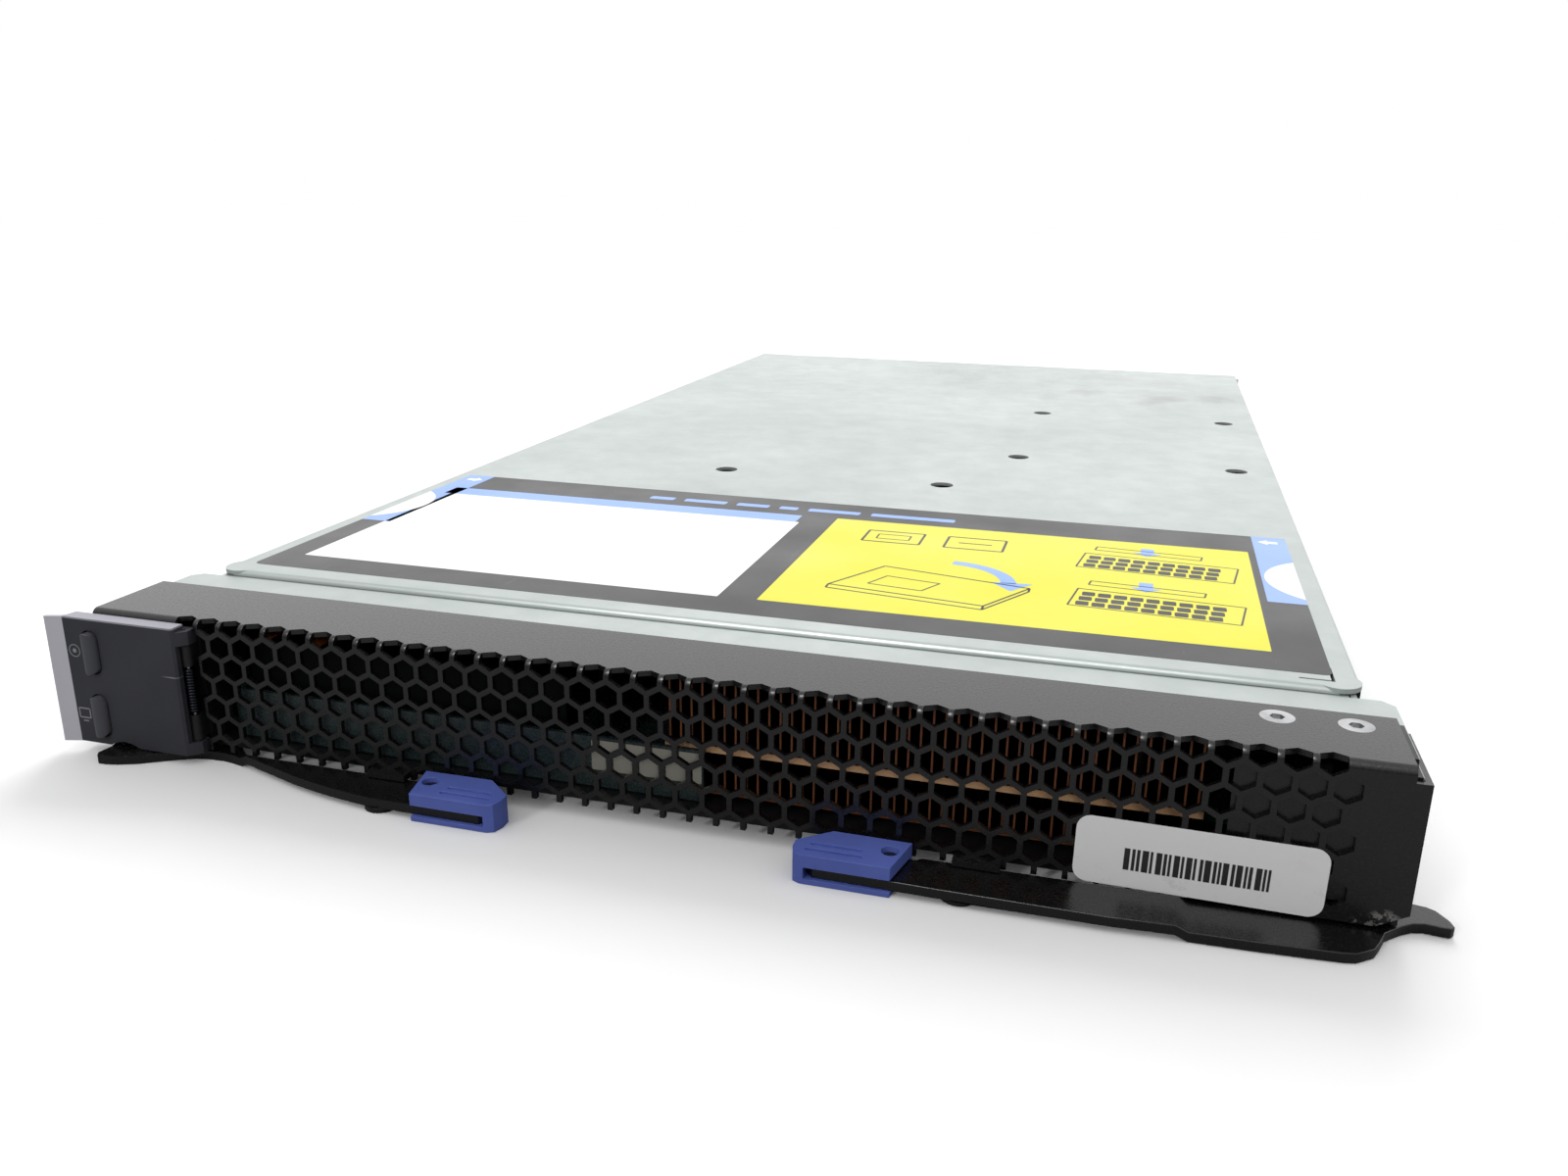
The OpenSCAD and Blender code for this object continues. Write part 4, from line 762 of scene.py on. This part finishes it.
class BLADE_OT_cover_label(bpy.types.Operator):
    """Print the label on the cover: dark ground, white panel, yellow panel and blue sides"""

    bl_idname = "blade.cover_label"
    bl_label = "Add the cover label"

    def execute(self, context):
        settings = context.scene.blade_label
        film = settings.sheet
        edge = COVER[1].x - settings.inset
        front = FACE_Y + 37 * MM
        # the inks lie on the ground film in two thin layers
        lower = (COVER_TOP + film, COVER_TOP + 1.5 * film)
        upper = (COVER_TOP + 1.5 * film, COVER_TOP + 2 * film)
        inks = {
            "ground": printed_film(
                "laminated vinyl, dark ground", "#2e2e30", 0.36, 0.3, "#6d6d70"),
            "white": printed_film("laminated vinyl, white", "#f1f2f3", 0.4, 0.12, "#bcbcbc"),
            "yellow": printed_film("laminated vinyl, yellow", "#e6de0c", 0.36, 0.15, "#a89f2c"),
            "blue": printed_film("laminated vinyl, light blue", "#8fb0ee", 0.38, 0.12, "#5a76b4"),
            "black": printed_film("laminated vinyl, black line", "#242422", 0.38, 0.1, "#55554a"),
        }
        ground = rounded(-edge, edge, front, front + settings.depth, 1.5 * MM)
        settle(cut_sheet(ground, COVER_TOP, COVER_TOP + film), "label_ground", inks["ground"],
               "cover")
        for name, ink, place in (
            ("label_white", "white", (-106, -6, 46.3, 110.7)),
            ("label_header", "blue", (-108, -7, 110.7, 117.6)),
            ("label_yellow", "yellow", (2.5, 103, 46.7, 117.6)),
        ):
            settle(cut_sheet(panel(*place), *lower), name, inks[ink], "cover")
        for side, name in ((-1, "left"), (1, "right")):
            label_side(side, name, edge, inks, lower, upper)
        settle(heading_bars(lower), "label_heading_bars", inks["blue"], "cover")
        settle(diagrams(upper), "label_diagrams", inks["black"], "cover")
        settle(diagram_arrows(upper), "label_diagram_arrows", inks["blue"], "cover")
        return {"FINISHED"}


class BLADE_OT_front_sticker(bpy.types.Operator):
    """Stick the small white bar sticker on the bezel"""

    bl_idname = "blade.front_sticker"
    bl_label = "Add the bezel sticker"

    def execute(self, context):
        back = FACE_Y - 0.02 * MM
        film = 0.08 * MM
        face = back - film
        tilt = math.radians(-0.7)
        middle_x, middle_z = 90.9 * MM, 8.6 * MM
        bar_low, bar_high = 5.8 * MM, 9.7 * MM
        widths = (9, 5, 5, 10, 4, 9, 5, 4, 9, 4, 9, 4, 5, 10, 5, 4, 9, 5, 9, 4, 5, 9, 4, 4)
        gaps = (4, 3, 4, 3, 6, 3, 3, 5, 3, 4, 3, 6, 3, 4, 3, 3, 5, 3, 4, 3, 6, 3, 3, 4)
        width_unit, gap_unit = 0.1 * MM, 0.085 * MM

        def tilted(points):
            cos, sin = math.cos(tilt), math.sin(tilt)
            return [(middle_x + (x - middle_x) * cos - (z - middle_z) * sin,
                     middle_z + (x - middle_x) * sin + (z - middle_z) * cos) for x, z in points]

        white = sticker_vinyl()
        ink = printed_film("laminated vinyl, black bars", "#232325", 0.4, 0.1)
        sheet = rounded(71.6 * MM, 110.2 * MM, 2.6 * MM, 14.6 * MM, 2.4 * MM, 8)
        settle(cut_sheet(tilted(sheet), face, back, "Y"), "sticker_sheet", white, "blade")
        bars = []
        x = 79.5 * MM
        for width, gap in zip(widths, gaps):
            width *= width_unit
            bar = [(x, bar_low), (x + width, bar_low), (x + width, bar_high), (x, bar_high)]
            bars.append(cut_sheet(tilted(bar), back - 1.4 * film, face, "Y"))
            x += width + gap * gap_unit
        settle(join(bars), "sticker_bars", ink, "blade")
        return {"FINISHED"}


class BLADE_OT_door_marks(bpy.types.Operator):
    """Print the two generic icons beside the door's buttons"""

    bl_idname = "blade.door_marks"
    bl_label = "Add the door's icons"

    def execute(self, context):
        ink = printed_film("pad-printed ink, light grey", "#8f9095", 0.45, 0.1)
        face = DOOR[0].y + 1.1 * MM
        layer = (face - 0.03 * MM, face + 0.1 * MM, "Y")
        x = -123.8 * MM
        disc_low, disc_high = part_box("disc_select_button")
        screen_low, screen_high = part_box("console_select_button")
        disc_z = (disc_low.z + disc_high.z) / 2
        screen_z = (screen_low.z + screen_high.z) / 2
        # the disc: a ring of flat strips, and a dot
        count = 24
        outer, inner, hub = (
            arc((x, disc_z), (r * MM, r * MM), 0, 360 - 360 / count, count - 1)
            for r in (1.35, 1.17, 0.45))
        marks = []
        for i in range(count):
            j = (i + 1) % count
            marks.append(cut_sheet([outer[i], outer[j], inner[j], inner[i]], *layer))
        marks.append(cut_sheet(hub[::2], *layer))
        # the screen: a frame, and a foot under it
        frame_corners = [(-1.3, -0.9), (1.3, -0.9), (1.3, 1.1), (-1.3, 1.1), (-1.3, -0.9)]
        foot = ((-0.6, -1.6), (0.6, -1.6))
        for ends in (*zip(frame_corners, frame_corners[1:]), foot):
            a, b = ((x + dx * MM, screen_z + dz * MM) for dx, dz in ends)
            marks.append(cut_sheet(stroke(a, b, 0.28 * MM), *layer))
        settle(join(marks), "door_icons", ink, "door")
        return {"FINISHED"}


class BLADE_OT_tray_label(bpy.types.Operator):
    """Stick a plain paper label on the front drive tray's flange and tape on the drive"""

    bl_idname = "blade.tray_label"
    bl_label = "Add the tray label and the drive's tape"

    def execute(self, context):
        # painted shade: the paper is made grey because it sits in shade behind the bezel
        paper = printed_film("paper label, grey as painted shade", "#a09d92", 0.6, 0.2, "#6d675a")
        film = 0.06 * MM
        flange = TRAY[0].y
        outline = rounded(-17 * MM, 4.7 * MM, 7 * MM, 13 * MM, 0.3 * MM, 2)
        settle(cut_sheet(outline, flange - film, flange, "Y"), "tray_paper_label", paper, "blade")
        amber = printed_film("polyimide tape, amber", "#9a5312", 0.25, 0.1, "#5a3209")
        low, high = DRIVE
        strips = []
        for start, end in ((0.2, 3.4), (11.5, 15.5)):
            outline = rounded(low.x + start * MM, low.x + end * MM, low.y + 1.5 * MM,
                              low.y + 11 * MM, 0.3 * MM, 2)
            strips.append(cut_sheet(outline, high.z, high.z + film))
        settle(join(strips), "drive_tape", amber, "blade")
        return {"FINISHED"}


class BLADE_OT_stage(bpy.types.Operator):
    """Set up the floor, the light and the camera"""

    bl_idname = "blade.stage"
    bl_label = "Set the stage"

    def execute(self, context):
        settings = context.scene.blade_stage
        self.lay_floor(context, settings)
        self.light_world(context)
        self.place_lamps(context, settings)
        self.aim_camera(context)
        context.scene.view_settings.view_transform = "Standard"
        return {"FINISHED"}

    def lay_floor(self, context, settings):
        clear_selection()
        bpy.ops.mesh.primitive_plane_add(size=settings.floor_size, location=(0, 0.3, 0))
        floor = context.object
        floor.name = "floor"
        floor.data.materials.append(floor_board())
        bpy.ops.object.transform_apply(location=True)

    def light_world(self, context):
        """White to the camera; as a light, a bright tent overhead with a dark room in front."""
        world = context.scene.world or bpy.data.worlds.new("studio")
        context.scene.world = world
        world.use_nodes = True
        tree = world.node_tree
        tree.nodes.clear()
        seen = add(tree, "ShaderNodeLightPath").outputs["Is Camera Ray"]
        _, y, z = axes(tree, add(tree, "ShaderNodeTexCoord").outputs["Generated"])
        overhead = ramp(tree, z, 0.05, 0.75)
        front = ramp(tree, y, -0.4, 0.35, 0.06, 1.5)
        tent = blend(tree, overhead, front, 0.85)
        sky = add(tree, "ShaderNodeBackground",
                  {"Color": (1, 1, 1, 1), "Strength": blend(tree, seen, tent, 1.0)})
        out = add(tree, "ShaderNodeOutputWorld")
        tree.links.new(sky.outputs[0], out.inputs[0])

    def place_lamps(self, context, settings):
        for name, power, size, at, look in (
            ("key", settings.key_power, 1.4, (-0.15, 1.35, 1.15), (0, -0.1, 0)),
            ("fill", settings.fill_power, 0.2, (-0.6, -1.55, 0.72), (0, -0.2, 0)),
            ("glint", settings.glint_power, 0.5, (-0.2, -0.8, 1.15), (0, -0.23, 0)),
        ):
            clear_selection()
            bpy.ops.object.light_add(type="AREA", location=at)
            lamp = context.object
            lamp.name = name
            lamp.data.energy = power
            lamp.data.size = size
            # the glint lamp only draws the fine highlights along painted edges
            lamp.visible_glossy = name == "glint"
            lamp.visible_diffuse = name != "glint"
            lamp.rotation_euler = (
                (Vector(look) - Vector(at)).to_track_quat("-Z", "Y").to_euler())

    def aim_camera(self, context):
        yaw, pitch, roll = -0.27704, -0.3078, 0.01175
        at = (0.075275, FACE_Y - 0.188551, 0.110498)
        forward = Vector((math.sin(yaw) * math.cos(pitch), math.cos(yaw) * math.cos(pitch),
                          math.sin(pitch)))
        level = Vector((math.cos(yaw), -math.sin(yaw), 0))
        up = level.cross(forward)
        right = math.cos(roll) * level + math.sin(roll) * up
        up = -math.sin(roll) * level + math.cos(roll) * up
        clear_selection()
        bpy.ops.object.camera_add()
        camera = context.object
        camera.name = "view"
        camera.matrix_world = Matrix((
            (right.x, up.x, -forward.x, at[0]),
            (right.y, up.y, -forward.y, at[1]),
            (right.z, up.z, -forward.z, at[2]),
            (0, 0, 0, 1),
        ))
        camera.data.sensor_width = 36
        camera.data.lens = 28.70
        camera.data.clip_start = 0.01
        context.scene.camera = camera


class BLADE_PT_panel(bpy.types.Panel):
    """Lists the pieces that can be made"""

    bl_idname = "BLADE_PT_panel"
    bl_label = "Blade server"
    bl_space_type = "VIEW_3D"
    bl_region_type = "UI"
    bl_category = "Blade"

    def draw(self, context):
        for operator in OPERATORS:
            self.layout.operator(operator.bl_idname)
        for group in (context.scene.blade_label, context.scene.blade_stage):
            for name in group.__annotations__:
                self.layout.prop(group, name)


OPERATORS = (
    BLADE_OT_finish_nodes,
    BLADE_OT_soften_front,
    BLADE_OT_cover_label,
    BLADE_OT_front_sticker,
    BLADE_OT_door_marks,
    BLADE_OT_tray_label,
    BLADE_OT_stage,
)
CLASSES = (BladeLabelSettings, BladeStageSettings, *OPERATORS, BLADE_PT_panel)


def register():
    for cls in CLASSES:
        bpy.utils.register_class(cls)
    bpy.types.Scene.blade_label = bpy.props.PointerProperty(type=BladeLabelSettings)
    bpy.types.Scene.blade_stage = bpy.props.PointerProperty(type=BladeStageSettings)


def unregister():
    del bpy.types.Scene.blade_stage
    del bpy.types.Scene.blade_label
    for cls in reversed(CLASSES):
        bpy.utils.unregister_class(cls)


def main():
    register()
    bpy.ops.blade.finish_nodes()
    bpy.ops.blade.soften_front()
    bpy.ops.blade.cover_label()
    bpy.ops.blade.front_sticker()
    bpy.ops.blade.door_marks()
    bpy.ops.blade.tray_label()
    bpy.ops.blade.stage()
    clear_selection()


if __name__ == "__main__":
    main()
